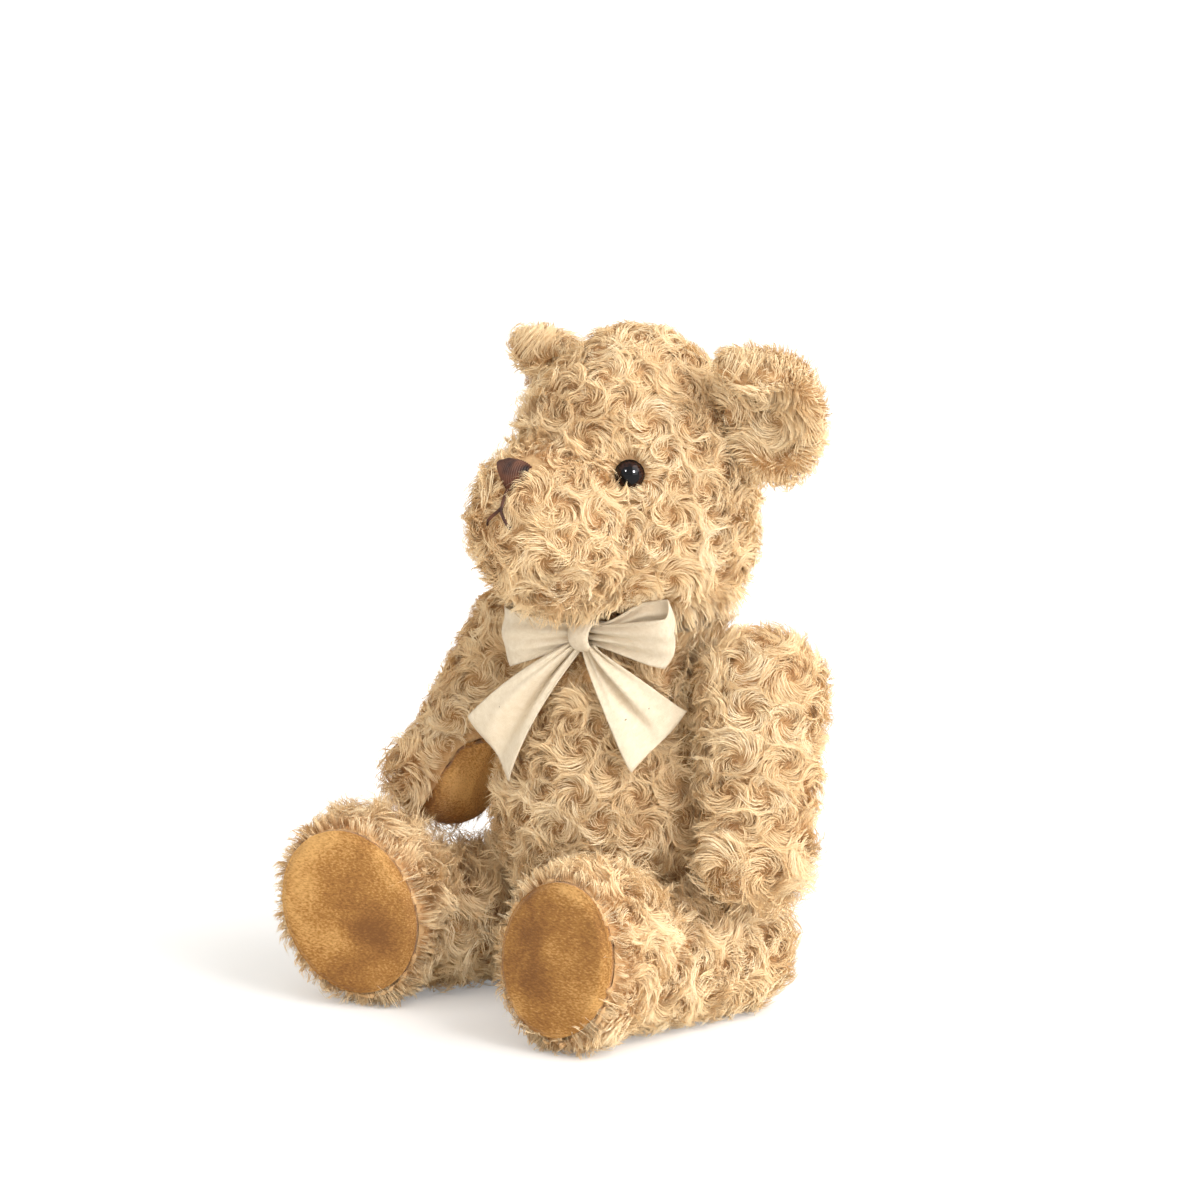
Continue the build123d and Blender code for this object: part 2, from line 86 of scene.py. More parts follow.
# Node trees -----------------------------------------------------------------------------------
class Term:
    """A node's output, on which Python's operators add Math and Vector Math nodes."""

    def __init__(self, tree, socket):
        self.tree, self.socket = tree, socket

    def is_vector(self):
        return self.socket.type == "VECTOR"

    def maths(self, operation, *others, out=0):
        terms = (self,) + others
        vector = any(t.is_vector() if isinstance(t, Term) else hasattr(t, "__len__") for t in terms)
        kind = "ShaderNodeVectorMath" if vector else "ShaderNodeMath"
        return self.tree.add(kind, dict(enumerate(terms)), out, operation=operation)

    def scaled(self, factor):
        return self.tree.add("ShaderNodeVectorMath", {0: self, 3: factor}, operation="SCALE")

    def __add__(self, other):
        return self.maths("ADD", other)

    def __sub__(self, other):
        return self.maths("SUBTRACT", other)

    def __rsub__(self, other):
        return self * -1 + other

    def __mul__(self, other):
        other_is_vector = other.is_vector() if isinstance(other, Term) else hasattr(other, "__len__")
        if self.is_vector() != other_is_vector:
            return self.scaled(other) if self.is_vector() else other.scaled(self)
        return self.maths("MULTIPLY", other)

    def __truediv__(self, other):
        return self.maths("DIVIDE", other)

    def __rtruediv__(self, other):
        return self**-1 * other

    def __pow__(self, other):
        return self.maths("POWER", other)

    __radd__, __rmul__ = __add__, __mul__

    def dot(self, other):
        return self.maths("DOT_PRODUCT", other, out=1)

    def cross(self, other):
        return self.maths("CROSS_PRODUCT", other)

    def length(self):
        return self.maths("LENGTH", out=1)

    def unit(self):
        return self.maths("NORMALIZE")

    def least(self, other):
        return self.maths("MINIMUM", other)

    def most(self, other):
        return self.maths("MAXIMUM", other)

    def smooth(self, low, high):
        """0 below low, 1 above high and a smooth step between them."""
        sockets = {"Value": self, "From Min": low, "From Max": high}
        return self.tree.add("ShaderNodeMapRange", sockets, interpolation_type="SMOOTHSTEP")


class Tree:
    """A node tree, with one method that adds a node, its settings and what its sockets take."""

    def __init__(self, nodes_of):
        self.tree = nodes_of

    def add(self, kind, sockets=(), out=0, stops=None, **settings):
        node = self.tree.nodes.new(kind)
        for name, value in settings.items():
            setattr(node, name, value)
        if stops:
            ramp = node.color_ramp
            while len(ramp.elements) < len(stops):
                ramp.elements.new(0.5)
            for element, (position, colour) in zip(ramp.elements, stops):
                element.position = position
                element.color = colour
        for key, value in dict(sockets).items():
            if isinstance(value, Term):
                self.tree.links.new(value.socket, node.inputs[key])
            else:
                node.inputs[key].default_value = value
        shown = [socket for socket in node.outputs if socket.enabled]
        if out is None or not shown:
            return node
        return Term(self, node.outputs[out] if isinstance(out, str) else shown[min(out, len(shown) - 1)])

    def parts(self, vector):
        """A vector's X, Y and Z."""
        node = self.add("ShaderNodeSeparateXYZ", {"Vector": vector}, out=None)
        return [Term(self, node.outputs[axis]) for axis in "XYZ"]

    def seen_directly(self):
        """1 for what the camera sees, itself or in a glossy surface."""
        path = self.add("ShaderNodeLightPath", out=None)
        return Term(self, path.outputs["Is Camera Ray"]).most(Term(self, path.outputs["Is Glossy Ray"]))

    def mix(self, factor, first, second):
        """A blend of two colours, each a Term or a colour."""
        sockets = {0: factor, 6: first, 7: second}
        return self.add("ShaderNodeMix", sockets, "Result", data_type="RGBA")


def linear(*rgb):
    """A colour given on the usual 0 to 255 scale, as the shaders take it."""
    shares = [c / 255 for c in rgb]
    return tuple(c / 12.92 if c <= 0.04045 else ((c + 0.055) / 1.055) ** 2.4 for c in shares) + (1.0,)


# Materials ------------------------------------------------------------------------------------
def material(name, constants, specular=0.5):
    """A new material, its tree and its shader node, with constants set on the shader's sockets."""
    made = bpy.data.materials.new(name)
    made.use_nodes = True
    shader = made.node_tree.nodes["Principled BSDF"]
    for socket, value in (constants | {"Specular IOR Level": specular}).items():
        shader.inputs[socket].default_value = value
    return made, Tree(made.node_tree), shader


def join(tree, term, shader, socket):
    tree.tree.links.new(term.socket, shader.inputs[socket])


def noise(tree, place, scale, detail=2.0, roughness=0.5, distortion=0.0):
    sockets = {"Vector": place, "Scale": scale, "Detail": detail}
    sockets |= {"Roughness": roughness, "Distortion": distortion}
    return tree.add("ShaderNodeTexNoise", sockets)


def ramp(tree, factor, *stops):
    """Colours along a factor: each stop is a position and a colour."""
    stops = [(position, linear(*rgb)) for position, *rgb in stops]
    return tree.add("ShaderNodeValToRGB", {"Fac": factor}, stops=stops)


def finished(made, tree, shader, colour, height=None, depth=0.0):
    """The material, once its shader has its colour and its relief, this deep."""
    join(tree, colour, shader, "Base Color")
    if height:
        join(tree, tree.add("ShaderNodeBump", {"Distance": depth, "Height": height}), shader, "Normal")
    return made


def object_place(tree):
    return tree.add("ShaderNodeTexCoord", out="Object")


def plush_material():
    """The pile: across its map from shaded to sunlit strands, along it from root to tip, with painted shade
    at the roots.
    """
    settings = {"Roughness": 0.75, "Sheen Weight": 0.12, "Sheen Roughness": 0.5}
    made, tree, shader = material("swirled_plush", settings, specular=0.2)
    place = tree.add("ShaderNodeUVMap", out="UV", uv_map="OFBake")
    tone, along, _ = tree.parts(place)
    # Painted shade: the roots are darker than the tips, as if shaded deep in the pile
    shaded_roots = ramp(tree, tone, (0.0, 190, 144, 90), (1.0, 240, 204, 152))
    shades = ((0.0, 222, 180, 124), (0.4, 240, 207, 157), (0.7, 246, 219, 174), (1.0, 252, 235, 202))
    tips = ramp(tree, tone, *shades)
    return finished(made, tree, shader, tree.mix(along.smooth(0.0, 0.5), shaded_roots, tips))


def backing_material():
    """The cloth under the pile, in the colour of its roots."""
    made, tree, shader = material("plush_backing", {"Roughness": 0.95})
    place = object_place(tree)
    patches = noise(tree, place, 90.0, 3.0)
    hairs = noise(tree, place, 900.0, 2.0)
    colour = ramp(tree, patches, (0.3, 196, 150, 96), (0.7, 228, 188, 134))
    return finished(made, tree, shader, colour, hairs, 0.6 * mm)


def suede_material():
    """Short brown nap, brushed lighter and darker in patches."""
    made, tree, shader = material("suede", {"Sheen Weight": 0.15, "Sheen Roughness": 0.4}, specular=0.25)
    place = object_place(tree)
    brushed = noise(tree, place, 30.0, 2.0, 0.5, 0.4)
    leaning = {"Vector": place, "Rotation": (0.0, math.radians(38), 0.0)}
    leaning["Scale"] = (560.0, 1500.0, 1500.0)
    nap = noise(tree, tree.add("ShaderNodeMapping", leaning), 1.0, 2.0, 0.6)
    fine = noise(tree, place, 1500.0, 1.0)
    shade = (brushed * 0.62 + nap * 0.38).smooth(0.32, 0.68)
    colour = ramp(tree, shade, (0.0, 120, 74, 22), (0.5, 165, 114, 50), (1.0, 216, 166, 98))
    join(tree, brushed * 0.15 + 0.75, shader, "Roughness")
    return finished(made, tree, shader, colour, nap + fine * 0.5, 0.35 * mm)


def calico_material():
    """Unbleached cotton: a plain weave, uneven yarns and sparse seed flecks."""
    made, tree, shader = material("calico", {"Roughness": 0.9, "Sheen Weight": 0.15}, specular=0.2)
    place = tree.add("ShaderNodeUVMap", out="UV", uv_map="cloth")
    across = tree.add("ShaderNodeMapping", {"Vector": place, "Scale": (60.0, 1400.0, 1.0)})
    lengthways = tree.add("ShaderNodeMapping", {"Vector": place, "Scale": (1400.0, 60.0, 1.0)})
    yarns = noise(tree, across, 1.0, 1.0) + noise(tree, lengthways, 1.0, 1.0)
    blotches = noise(tree, place, 40.0, 2.0)
    speck = {"Vector": place, "Scale": 22.0, "Randomness": 1.0}
    near = tree.add("ShaderNodeTexVoronoi", speck, "Distance")
    pick = tree.add("ShaderNodeTexVoronoi", speck, "Color")
    chosen = tree.add("ShaderNodeSeparateColor", {"Color": pick}, "Red").smooth(0.6, 0.62)
    fleck = (1 - near.smooth(0.04, 0.09)) * chosen
    shade = (yarns * 0.35 + blotches * 0.3).smooth(0.3, 0.7)
    cloth = ramp(tree, shade, (0.0, 220, 201, 170), (1.0, 243, 229, 205))
    colour = tree.mix(fleck, cloth, linear(120, 84, 48))
    return finished(made, tree, shader, colour, yarns, 0.12 * mm)


def thread_material():
    """Dark brown embroidery cotton with a slight shine."""
    made, tree, shader = material("brown_thread", {"Roughness": 0.55}, specular=0.2)
    place = object_place(tree)
    ply = noise(tree, place, 700.0, 2.0)
    shade = noise(tree, place, 160.0, 1.0)
    colour = ramp(tree, shade, (0.35, 40, 19, 11), (0.65, 108, 66, 46))
    return finished(made, tree, shader, colour, ply, 0.2 * mm)


def eye_material(name, centre, axis):
    """Glossy plastic: a black pupil in a dark brown iris, by the distance from the eye's axis."""
    made, tree, shader = material(name, {"Roughness": 0.06}, specular=0.2)
    offset = object_place(tree) - tuple(centre)
    along = offset.dot(tuple(axis))
    out = (offset - tree.add("ShaderNodeVectorMath", {0: tuple(axis), 3: along}, operation="SCALE")).length()
    iris = noise(tree, object_place(tree), 900.0, 2.0)
    brown = ramp(tree, iris, (0.35, 26, 14, 12), (0.7, 58, 32, 22))
    rim = out.smooth(3.7 * mm, 4.0 * mm) * (1 - out.smooth(5.3 * mm, 5.6 * mm))
    return finished(made, tree, shader, tree.mix(rim, linear(8, 7, 10), brown))


def plastic_material():
    """White moulded plastic with slight unevenness."""
    made, tree, shader = material("white_plastic", {"Roughness": 0.45})
    grain = noise(tree, object_place(tree), 400.0, 3.0)
    colour = ramp(tree, grain, (0.35, 214, 214, 208), (0.65, 228, 228, 222))
    return finished(made, tree, shader, colour, grain, 0.03 * mm)


plush, backing, suede = plush_material(), backing_material(), suede_material()
calico, thread, disc_plastic = calico_material(), thread_material(), plastic_material()


# Mesh helpers ---------------------------------------------------------------------------------
def vectors_of(corners, kind):
    flat = np.empty(len(corners) * 3)
    corners.foreach_get(kind, flat)
    return flat.reshape(-1, 3)


def vertices_of(mesh):
    return vectors_of(mesh.vertices, "co")


def normals_of(mesh):
    return vectors_of(mesh.vertices, "normal")


def move_vertices(mesh, places):
    mesh.vertices.foreach_set("co", np.asarray(places, np.float32).ravel())
    mesh.update()


def add_object(name, mesh, *materials):
    obj = bpy.data.objects.new(name, mesh)
    bpy.context.scene.collection.objects.link(obj)
    for one in materials:
        mesh.materials.append(one)
    return obj


def new_mesh(name, corners, edges=(), faces=()):
    mesh = bpy.data.meshes.new(name)
    mesh.from_pydata(corners, edges, faces)
    return mesh


def made_smooth(mesh):
    mesh.polygons.foreach_set("use_smooth", [True] * len(mesh.polygons))


def closed_up(mesh, gap, turned=True, cuts=0):
    """Merges a mesh's doubled corners, turns its faces outwards and divides its edges."""
    bm = bmesh.new()
    bm.from_mesh(mesh)
    bmesh.ops.remove_doubles(bm, verts=bm.verts, dist=gap)
    if turned:
        bmesh.ops.recalc_face_normals(bm, faces=bm.faces)
    if cuts:
        bmesh.ops.subdivide_edges(bm, edges=bm.edges, cuts=cuts, use_grid_fill=True)
    bm.to_mesh(mesh)
    bm.free()


def surface_of(obj):
    return BVHTree.FromObject(obj, bpy.context.evaluated_depsgraph_get())


def hand_over(obj, body, slot, *replaced):
    """Says what a piece moves with and hides the nodes that it stands for; slot, its finish, is not used."""
    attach(obj, body)
    if replaced:
        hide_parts(*replaced)
    return obj


def evaluated_mesh(obj):
    """The object's mesh with its modifiers applied, as a new plain mesh."""
    depsgraph = bpy.context.evaluated_depsgraph_get()
    depsgraph.update()
    return bpy.data.meshes.new_from_object(obj.evaluated_get(depsgraph))


def remove(obj):
    mesh = obj.data
    bpy.data.objects.remove(obj)
    bpy.data.meshes.remove(mesh)


def largest_part(bm):
    """Deletes all but the connected part with the most faces."""
    left, parts = set(bm.faces), []
    while left:
        part, edge = set(), {left.pop()}
        while edge:
            part |= edge
            edge = {f for e in edge for v in e.verts for f in v.link_faces} & left
            left -= edge
        parts.append(part)
    keep = max(parts, key=len)
    bmesh.ops.delete(bm, geom=[f for f in bm.faces if f not in keep], context="FACES")
    return bm


def smoothed(mesh, rounds, strength=0.5):
    """Evens the mesh out, moving each corner towards the mean of its neighbours."""
    places = vertices_of(mesh)
    edges = np.empty(len(mesh.edges) * 2, int)
    mesh.edges.foreach_get("vertices", edges)
    first, second = edges[::2], edges[1::2]
    count = np.bincount(edges, minlength=len(places))[:, None]
    for _ in range(rounds):
        total = np.zeros_like(places)
        np.add.at(total, first, places[second])
        np.add.at(total, second, places[first])
        places += strength * (total / np.maximum(count, 1) - places)
    move_vertices(mesh, places)


def backing_form(name, members):
    """One closed skin round these CAD nodes, drawn in by the depth of the pile."""
    bm = bmesh.new()
    for node in members:
        bm.from_mesh(nodes[node].data)
    bmesh.ops.remove_doubles(bm, verts=bm.verts, dist=0.001 * mm)
    mesh = bpy.data.meshes.new(name)
    bm.to_mesh(mesh)
    bm.free()
    obj = add_object(name, mesh)
    remesh = obj.modifiers.new("even_faces", "REMESH")
    remesh.mode = "VOXEL"
    remesh.voxel_size = voxel
    skin = evaluated_mesh(obj)
    remove(obj)
    bm = bmesh.new()
    bm.from_mesh(skin)
    bmesh.ops.recalc_face_normals(bm, faces=largest_part(bm).faces)
    bm.to_mesh(skin)
    bm.free()
    smoothed(skin, 6)
    for _ in range(4):
        move_vertices(skin, vertices_of(skin) - normals_of(skin) * (backing_inset / 4))
        smoothed(skin, 1, 0.3)
    obj = add_object(name, skin, backing)
    skin.name = name
    return obj


# Whorls: the pile lies in swirls, each turned one way or the other about its own centre -------
def spread(places, spacing, start):
    """Indices of places that lie about the spacing apart, taken in random order."""
    chosen = []
    for index in start.permutation(len(places)):
        near = places[chosen] - places[index] if chosen else np.empty((0, 3))
        if not len(near) or (np.einsum("ij,ij->i", near, near) > spacing**2).all():
            chosen.append(index)
    return np.array(chosen)


def soft_step(value, low, high):
    """0 below low, 1 above high and a smooth step between them."""
    t = np.clip((value - low) / (high - low), 0, 1)
    return t * t * (3 - 2 * t)


def set_attribute(mesh, name, values):
    kind, key = ("FLOAT_VECTOR", "vector") if values.ndim == 2 else ("FLOAT", "value")
    attribute = mesh.attributes.new(name, kind, "POINT")
    attribute.data.foreach_set(key, np.asarray(values, np.float32).ravel())


whorl_names = ("up", "whorl", "axis", "turn", "flow", "tone", "rise", "length", "cover")


def add_whorls(skin, cover, flow, length=1.0, raised_by=1.0, spacing=whorl_spacing):
    """Gives a skin the swirls' centres, axes and turns, and raises it between them.

    cover is the share of the pile at each corner, flow the way that it lies where it doesn't swirl,
    length the share of its full length, and raised_by the share of its full height over the skin.
    """
    mesh = skin.data
    places, normals = vertices_of(mesh), normals_of(mesh)
    centres = spread(places, spacing * 0.84, rng)
    turn = np.where(rng.random(len(centres)) < 0.5, -1.0, 1.0)
    size = rng.uniform(*whorl_sizes, len(centres))
    away = np.linalg.norm(places[:, None, :] - places[centres][None, :, :], axis=2)
    facing = normals @ normals[centres].T
    away = (away + (facing < 0.2) * 1.0) / size[None, :]
    order = np.argsort(away, axis=1)[:, :2]
    rows = np.arange(len(places))
    nearest, second = away[rows, order[:, 0]], away[rows, order[:, 1]]
    own = centres[order[:, 0]]
    share = nearest / np.maximum(nearest + second, 1e-9) * 2
    pit = 1 - soft_step(nearest, 0.6 * mm, 3.2 * mm)
    rim = soft_step(share, 0.86, 1.0)
    raised = np.sin(np.clip(share, 0, 1) * math.pi) ** 1.2
    blotch = rng.normal(0, 1, len(centres))[order[:, 0]]
    swirl = 1 - np.clip(np.linalg.norm(flow, axis=1), 0, 1)
    pit, rim = pit * swirl, rim * swirl
    # Painted shade in each swirl's pit and in the gaps between swirls, painted light on the raised ground
    # between them, over a random tone for each swirl
    tone = 0.58 - 0.26 * pit - 0.14 * rim + 0.06 * blotch + 0.1 * raised
    lift = 1 - 0.35 * pit - 0.25 * rim
    move_vertices(mesh, places + normals * ((raised - 0.5) * whorl_relief * swirl * length)[:, None])
    turns, tone = turn[order[:, 0]], np.clip(tone, 0.05, 0.95)
    lengths = (0.72 + 0.28 * lift) * (0.35 + 0.65 * length)
    kept = (normals_of(mesh), places[own], normals[own], turns, flow, tone, lift * raised_by, lengths, cover)
    for name, values in zip(whorl_names, kept):
        set_attribute(mesh, name, values)


def lock_shape():
    """One lock of flat strands: its corners hold where on a strand they are, and the pile's tree bends it."""
    steps = (0.0, 0.36, 0.7)
    corners, faces, along, across, strand = [], [], [], [], []
    for k in range(strands_per_lock):
        angle = 2.4 * k
        out = math.sqrt((k + 0.5) / strands_per_lock)
        place = (out * math.cos(angle), out * math.sin(angle), (k + 0.5) / strands_per_lock)
        base = len(corners)
        for share in steps:
            for side in (-1, 1):
                corners.append((side * 0.1, place[0], share))
                along.append(share)
                across.append(side)
                strand.append(place)
        corners.append((0, place[0], 1))
        along.append(1.0)
        across.append(0.0)
        strand.append(place)
        for step in range(len(steps) - 1):
            low = base + 2 * step
            faces.append((low, low + 1, low + 3, low + 2))
        faces.append((base + 4, base + 5, base + 6))
    mesh = new_mesh("pile_lock", corners, faces=faces)
    made_smooth(mesh)
    for name, values in (("along", along), ("across", across), ("strand", strand)):
        set_attribute(mesh, name, np.array(values))
    obj = add_object("pile_lock", mesh)
    obj.hide_render = True
    return obj


def geometry_group(name, inputs):
    """A new Geometry Nodes group: its tree, and its inputs as Terms by their names."""
    group = bpy.data.node_groups.new(name, "GeometryNodeTree")
    for label, kind in inputs.items():
        group.interface.new_socket(name=label, in_out="INPUT", socket_type=f"NodeSocket{kind}")
    group.interface.new_socket(name="Made", in_out="OUTPUT", socket_type="NodeSocketGeometry")
    tree, source = Tree(group), group.nodes.new("NodeGroupInput")
    return tree, {label: Term(tree, source.outputs[label]) for label in inputs}


def finished_group(tree, geometry, cloth):
    """The group, once its geometry is given its material and joined to its output."""
    geometry = tree.add("GeometryNodeSetMaterial", {"Geometry": geometry, "Material": cloth})
    result = tree.tree.nodes.new("NodeGroupOutput")
    tree.tree.links.new(geometry.socket, result.inputs[0])
    return tree.tree


def pile_tree():
    """Plants locks over a skin and lays every strand round its swirl."""
    inputs = {"Skin": "Geometry", "Whole Skin": "Object", "Lock": "Object"}
    inputs |= dict.fromkeys(("Spacing", "Length", "Lift", "Strand Width", "Lock Radius", "Lowest"), "Float")
    inputs |= {"Seed": "Int", "Material": "Material"}
    tree, given = geometry_group("pile", inputs)

    def vector(name):
        return tree.add("GeometryNodeInputNamedAttribute", {"Name": name}, data_type="FLOAT_VECTOR")

    def number(name):
        return tree.add("GeometryNodeInputNamedAttribute", {"Name": name}, data_type="FLOAT")

    def store(geometry, name, value, data_type="FLOAT_VECTOR", domain="POINT"):
        sockets = {"Geometry": geometry, "Name": name, "Value": value}
        return tree.add("GeometryNodeStoreNamedAttribute", sockets, data_type=data_type, domain=domain)

    spacing = given["Spacing"]
    planted = {"Mesh": given["Skin"], "Distance Min": spacing * 0.62, "Seed": given["Seed"]}
    planted |= {"Density Max": 1 / (spacing * spacing), "Density Factor": number("cover")}
    kind = "GeometryNodeDistributePointsOnFaces"
    points = tree.add(kind, planted, "Points", distribute_method="POISSON")
    any_of = {"Min": (0, 0, 0), "Max": (1, 1, 1), "Seed": given["Seed"]}
    chance = tree.add("FunctionNodeRandomValue", any_of, data_type="FLOAT_VECTOR")
    points = store(points, "root", tree.add("GeometryNodeInputPosition"))
    points = store(points, "chance", chance)
    lock = tree.add("GeometryNodeObjectInfo", {"Object": given["Lock"]}, "Geometry")
    locks = tree.add("GeometryNodeInstanceOnPoints", {"Points": points, "Instance": lock})
    pile = tree.add("GeometryNodeRealizeInstances", {"Geometry": locks})

    along, across, strand = number("along"), number("across"), vector("strand")
    chance, up = vector("chance"), vector("up").unit()
    strand_x, strand_y, strand_chance = tree.parts(strand)
    chance_x, chance_y, chance_z = tree.parts(chance)
    own_chance = (strand_chance * 7.31 + chance_z * 3.17).maths("FRACT")

    # Where the strand's root stands, and the swirl's arms there
    axis, whorl = vector("axis").unit(), vector("whorl")
    gather = (1 - along * 0.45) * given["Lock Radius"]
    side = up.cross((0.31, 0.52, 0.79)).unit()
    root = vector("root") + side * (strand_x * gather) + up.cross(side) * (strand_y * gather)
    arm = root - whorl
    rise = arm.dot(axis)
    flat = arm - axis * rise
    reach = flat.length()
    outwards = flat.unit()
    sideways = axis.cross(outwards)

    # How far it swings round the swirl and out from it
    length = given["Length"] * number("length") * (0.7 + chance_x * 0.35 + own_chance * 0.25)
    run = length * along
    swing = (number("turn") * run / (reach + 3.0 * mm)).most(-swing_most).least(swing_most)
    swing = swing * (0.55 + chance_y * 0.75) + (own_chance - 0.5) * along * 0.4
    cosine, sine = swing.maths("COSINE"), swing.maths("SINE")
    new_out = outwards * cosine + sideways * sine
    new_side = axis.cross(new_out)
    swirled = whorl + axis * rise + new_out * (reach + run * (0.15 + chance_z * 0.3 + own_chance * 0.12))
    flow = vector("flow")
    share = flow.length().least(1.0)
    jitter = side * ((own_chance - 0.5) * run * 0.9)
    straight = root + flow * run * 0.8 + jitter
    target = swirled * (1 - share) + straight * share

    # On the skin, raised over it
    whole = tree.add("GeometryNodeObjectInfo", {"Object": given["Whole Skin"]}, "Geometry")
    sampled = {0: whole, "Sample Position": target}
    near = tree.add("GeometryNodeProximity", sampled, "Position", target_element="FACES")
    sampled = {"Mesh": whole, "Value": vector("up"), "Sample Position": target}
    normal = tree.add("GeometryNodeSampleNearestSurface", sampled, data_type="FLOAT_VECTOR").unit()
    stand = (chance_z * 5.3 + chance_x).maths("FRACT")
    arch = along * (2.1 - along * (1.3 - stand * stand * 0.5))
    height = given["Lift"] * number("rise") * arch * (0.45 + stand * 0.6 + own_chance * 0.3)
    heading = (new_side * number("turn") + new_out * 0.3) * (1 - share) + flow * share
    flat_way = normal.cross(heading).unit()
    twist = (own_chance - 0.5) * 2.0
    width_way = flat_way * twist.maths("COSINE") + normal * twist.maths("SINE")
    width = given["Strand Width"] * 0.5 * (1.0 - along * 0.35)
    place = near + normal * height + width_way * (across * width)
    x, y, z = tree.parts(place)
    place = tree.add("ShaderNodeCombineXYZ", {"X": x, "Y": y, "Z": z.most(given["Lowest"])})
    pile = tree.add("GeometryNodeSetPosition", {"Geometry": pile, "Position": place})

    # The swirls' painted shade and light, with a random tone for each lock and each strand
    tone = number("tone") + (chance_x - 0.5) * 0.2 + (own_chance - 0.5) * 0.26
    tone = tone.most(0.02).least(0.98) + across * 0.0015
    shade = tree.add("ShaderNodeCombineXYZ", {"X": tone, "Y": along * 0.96 + 0.02})
    pile = store(pile, "OFBake", shade, "FLOAT2", "CORNER")
    return finished_group(tree, pile, given["Material"])


def run_tree(obj, group, values):
    """The mesh that a Geometry Nodes tree makes from an object, with the tree's inputs set by name."""
    modifier = obj.modifiers.new(group.name, "NODES")
    modifier.node_group = group
    for item in group.interface.items_tree:
        if item.name in values:
            modifier[item.identifier] = values[item.name]
    mesh = evaluated_mesh(obj)
    obj.modifiers.remove(modifier)
    return mesh


growing, lock = pile_tree(), lock_shape()
seeds = iter(range(11, 1000, 7))


def grow(name, skin, body, where=None, length=pile_length, lift=pile_lift):
    """A coat of pile on the part of a skin that where picks out, as its own piece."""
    patch = skin.copy()
    patch.data = skin.data.copy()
    bpy.context.scene.collection.objects.link(patch)
    if where is not None:
        cover = np.empty(len(patch.data.vertices))
        patch.data.attributes["cover"].data.foreach_get("value", cover)
        cover *= where(vertices_of(patch.data))
        patch.data.attributes["cover"].data.foreach_set("value", cover.astype(np.float32))
    values = {"Whole Skin": skin, "Lock": lock, "Lock Radius": lock_radius, "Strand Width": strand_width}
    values |= {"Spacing": lock_spacing, "Length": length, "Lift": lift, "Lowest": floor_clearance}
    mesh = run_tree(patch, growing, values | {"Seed": next(seeds), "Material": plush})
    remove(patch)
    for attribute in list(mesh.attributes):
        if attribute.name in ("root", "chance", "along", "across", "strand") + whorl_names:
            mesh.attributes.remove(attribute)
    mesh.name = name
    hand_over(add_object(name, mesh), body, "fur")


def near_points(places, points, near, far):
    """1 where a place is nearer than near to any of the points, 0 past far."""
    distance = np.full(len(places), 1e9)
    for point in points:
        distance = np.minimum(distance, np.linalg.norm(places - np.array(point), axis=1))
    return 1 - soft_step(distance, near, far)


def middle_of(node):
    low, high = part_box(node)
    return (low + high) / 2


# Places of the joints and the pads --------------------------------------------------------------
sides = ("left", "right")
side_sign = {"left": 1, "right": -1}  # of x
upright = np.array([0, 0, 1.0])
# A sole's length and width as shares of its node's, and how far up it is sewn
pad_fit = {"left_sole": (0.97, 1.0, 1.6 * mm), "right_sole": (1.0, 1.03, 1.0 * mm)}


def joint_place(name):
    return np.array(joints[name]["pos_m"])


def pad_oval(node):
    """A pad's middle, its long, short and thin ways, and its half sizes along them."""
    places = vertices_of(nodes[node].data)
    middle = (places.max(0) + places.min(0)) / 2
    ways = np.linalg.svd(places - places.mean(0), full_matrices=False)[2]
    spans = [(places - middle) @ way for way in ways]
    middle = middle + sum(way * (span.max() + span.min()) / 2 for way, span in zip(ways, spans))
    halves = [(span.max() - span.min()) / 2 for span in spans]
    long, short, up = pad_fit.get(node, (1.0, 1.0, 0.0))
    middle = middle + ways[0] * np.sign(ways[0][2]) * up
    return middle, ways, [halves[0] * long, halves[1] * short, halves[2]]


def in_oval(places, oval, grow_by, depth):
    """Which places lie in an oval pad's outline, grown by so much, and near its plane."""
    middle, ways, halves = oval
    offset = places - middle
    long = offset @ ways[0] / (halves[0] + grow_by)
    short = offset @ ways[1] / (halves[1] + grow_by)
    return (long**2 + short**2 < 1) & (np.abs(offset @ ways[2]) < depth)


# Round sheets: what the ears and the pads are made of -------------------------------------------
def round_sheets(rings, spokes):
    """The sheet, the share of the radius and the angle of each corner of two round sheets."""
    for sheet in (0, 1):
        for ring in range(rings + 1):
            share = math.sin(ring / rings * math.pi / 2)
            for spoke in range(spokes):
                yield sheet, share, 2 * math.pi * spoke / spokes


def round_faces(rings, spokes, rimmed):
    """The sheets' faces, with a band between the two rims unless these meet."""

    def corner(sheet, ring, spoke):
        return (sheet * (rings + 1) + ring) * spokes + spoke % spokes

    faces = []
    for sheet in (0, 1):
        for ring in range(rings):
            for spoke in range(spokes):
                quad = [corner(sheet, ring, spoke), corner(sheet, ring + 1, spoke)]
                quad += [corner(sheet, ring + 1, spoke + 1), corner(sheet, ring, spoke + 1)]
                faces.append(quad if sheet or rimmed else quad[::-1])
    for k in range(spokes if rimmed else 0):
        band = [corner(0, rings, k), corner(0, rings, k + 1)]
        faces.append(band + [corner(1, rings, k + 1), corner(1, rings, k)])
    return faces


# Ears: a cupped pad whose top rolls forwards and hangs over its face ---------------------------
ear_inset = 2.5 * mm
ear_half_depth = 3.4 * mm
ear_cup = 3.0 * mm
ear_set_back = 1.5 * mm
ear_stretch = 1.42  # of the upper half, before it rolls over
ear_roll_start = 13.0 * mm  # height over the ear's middle where the roll begins
ear_roll_radius = 7.0 * mm
ear_roll_most = math.radians(168)
ear_turn, ear_lean = math.radians(12), math.radians(8)
ear_rings, ear_spokes = 14, 44
ear_share = {"left": (0.9, 1, 1.06), "right": (0.84, 1, 0.84)}  # of the full size, as each one flops
ear_shift = {"left": (-2.5 * mm, 0, -3 * mm), "right": (9 * mm, 0, -8 * mm)}


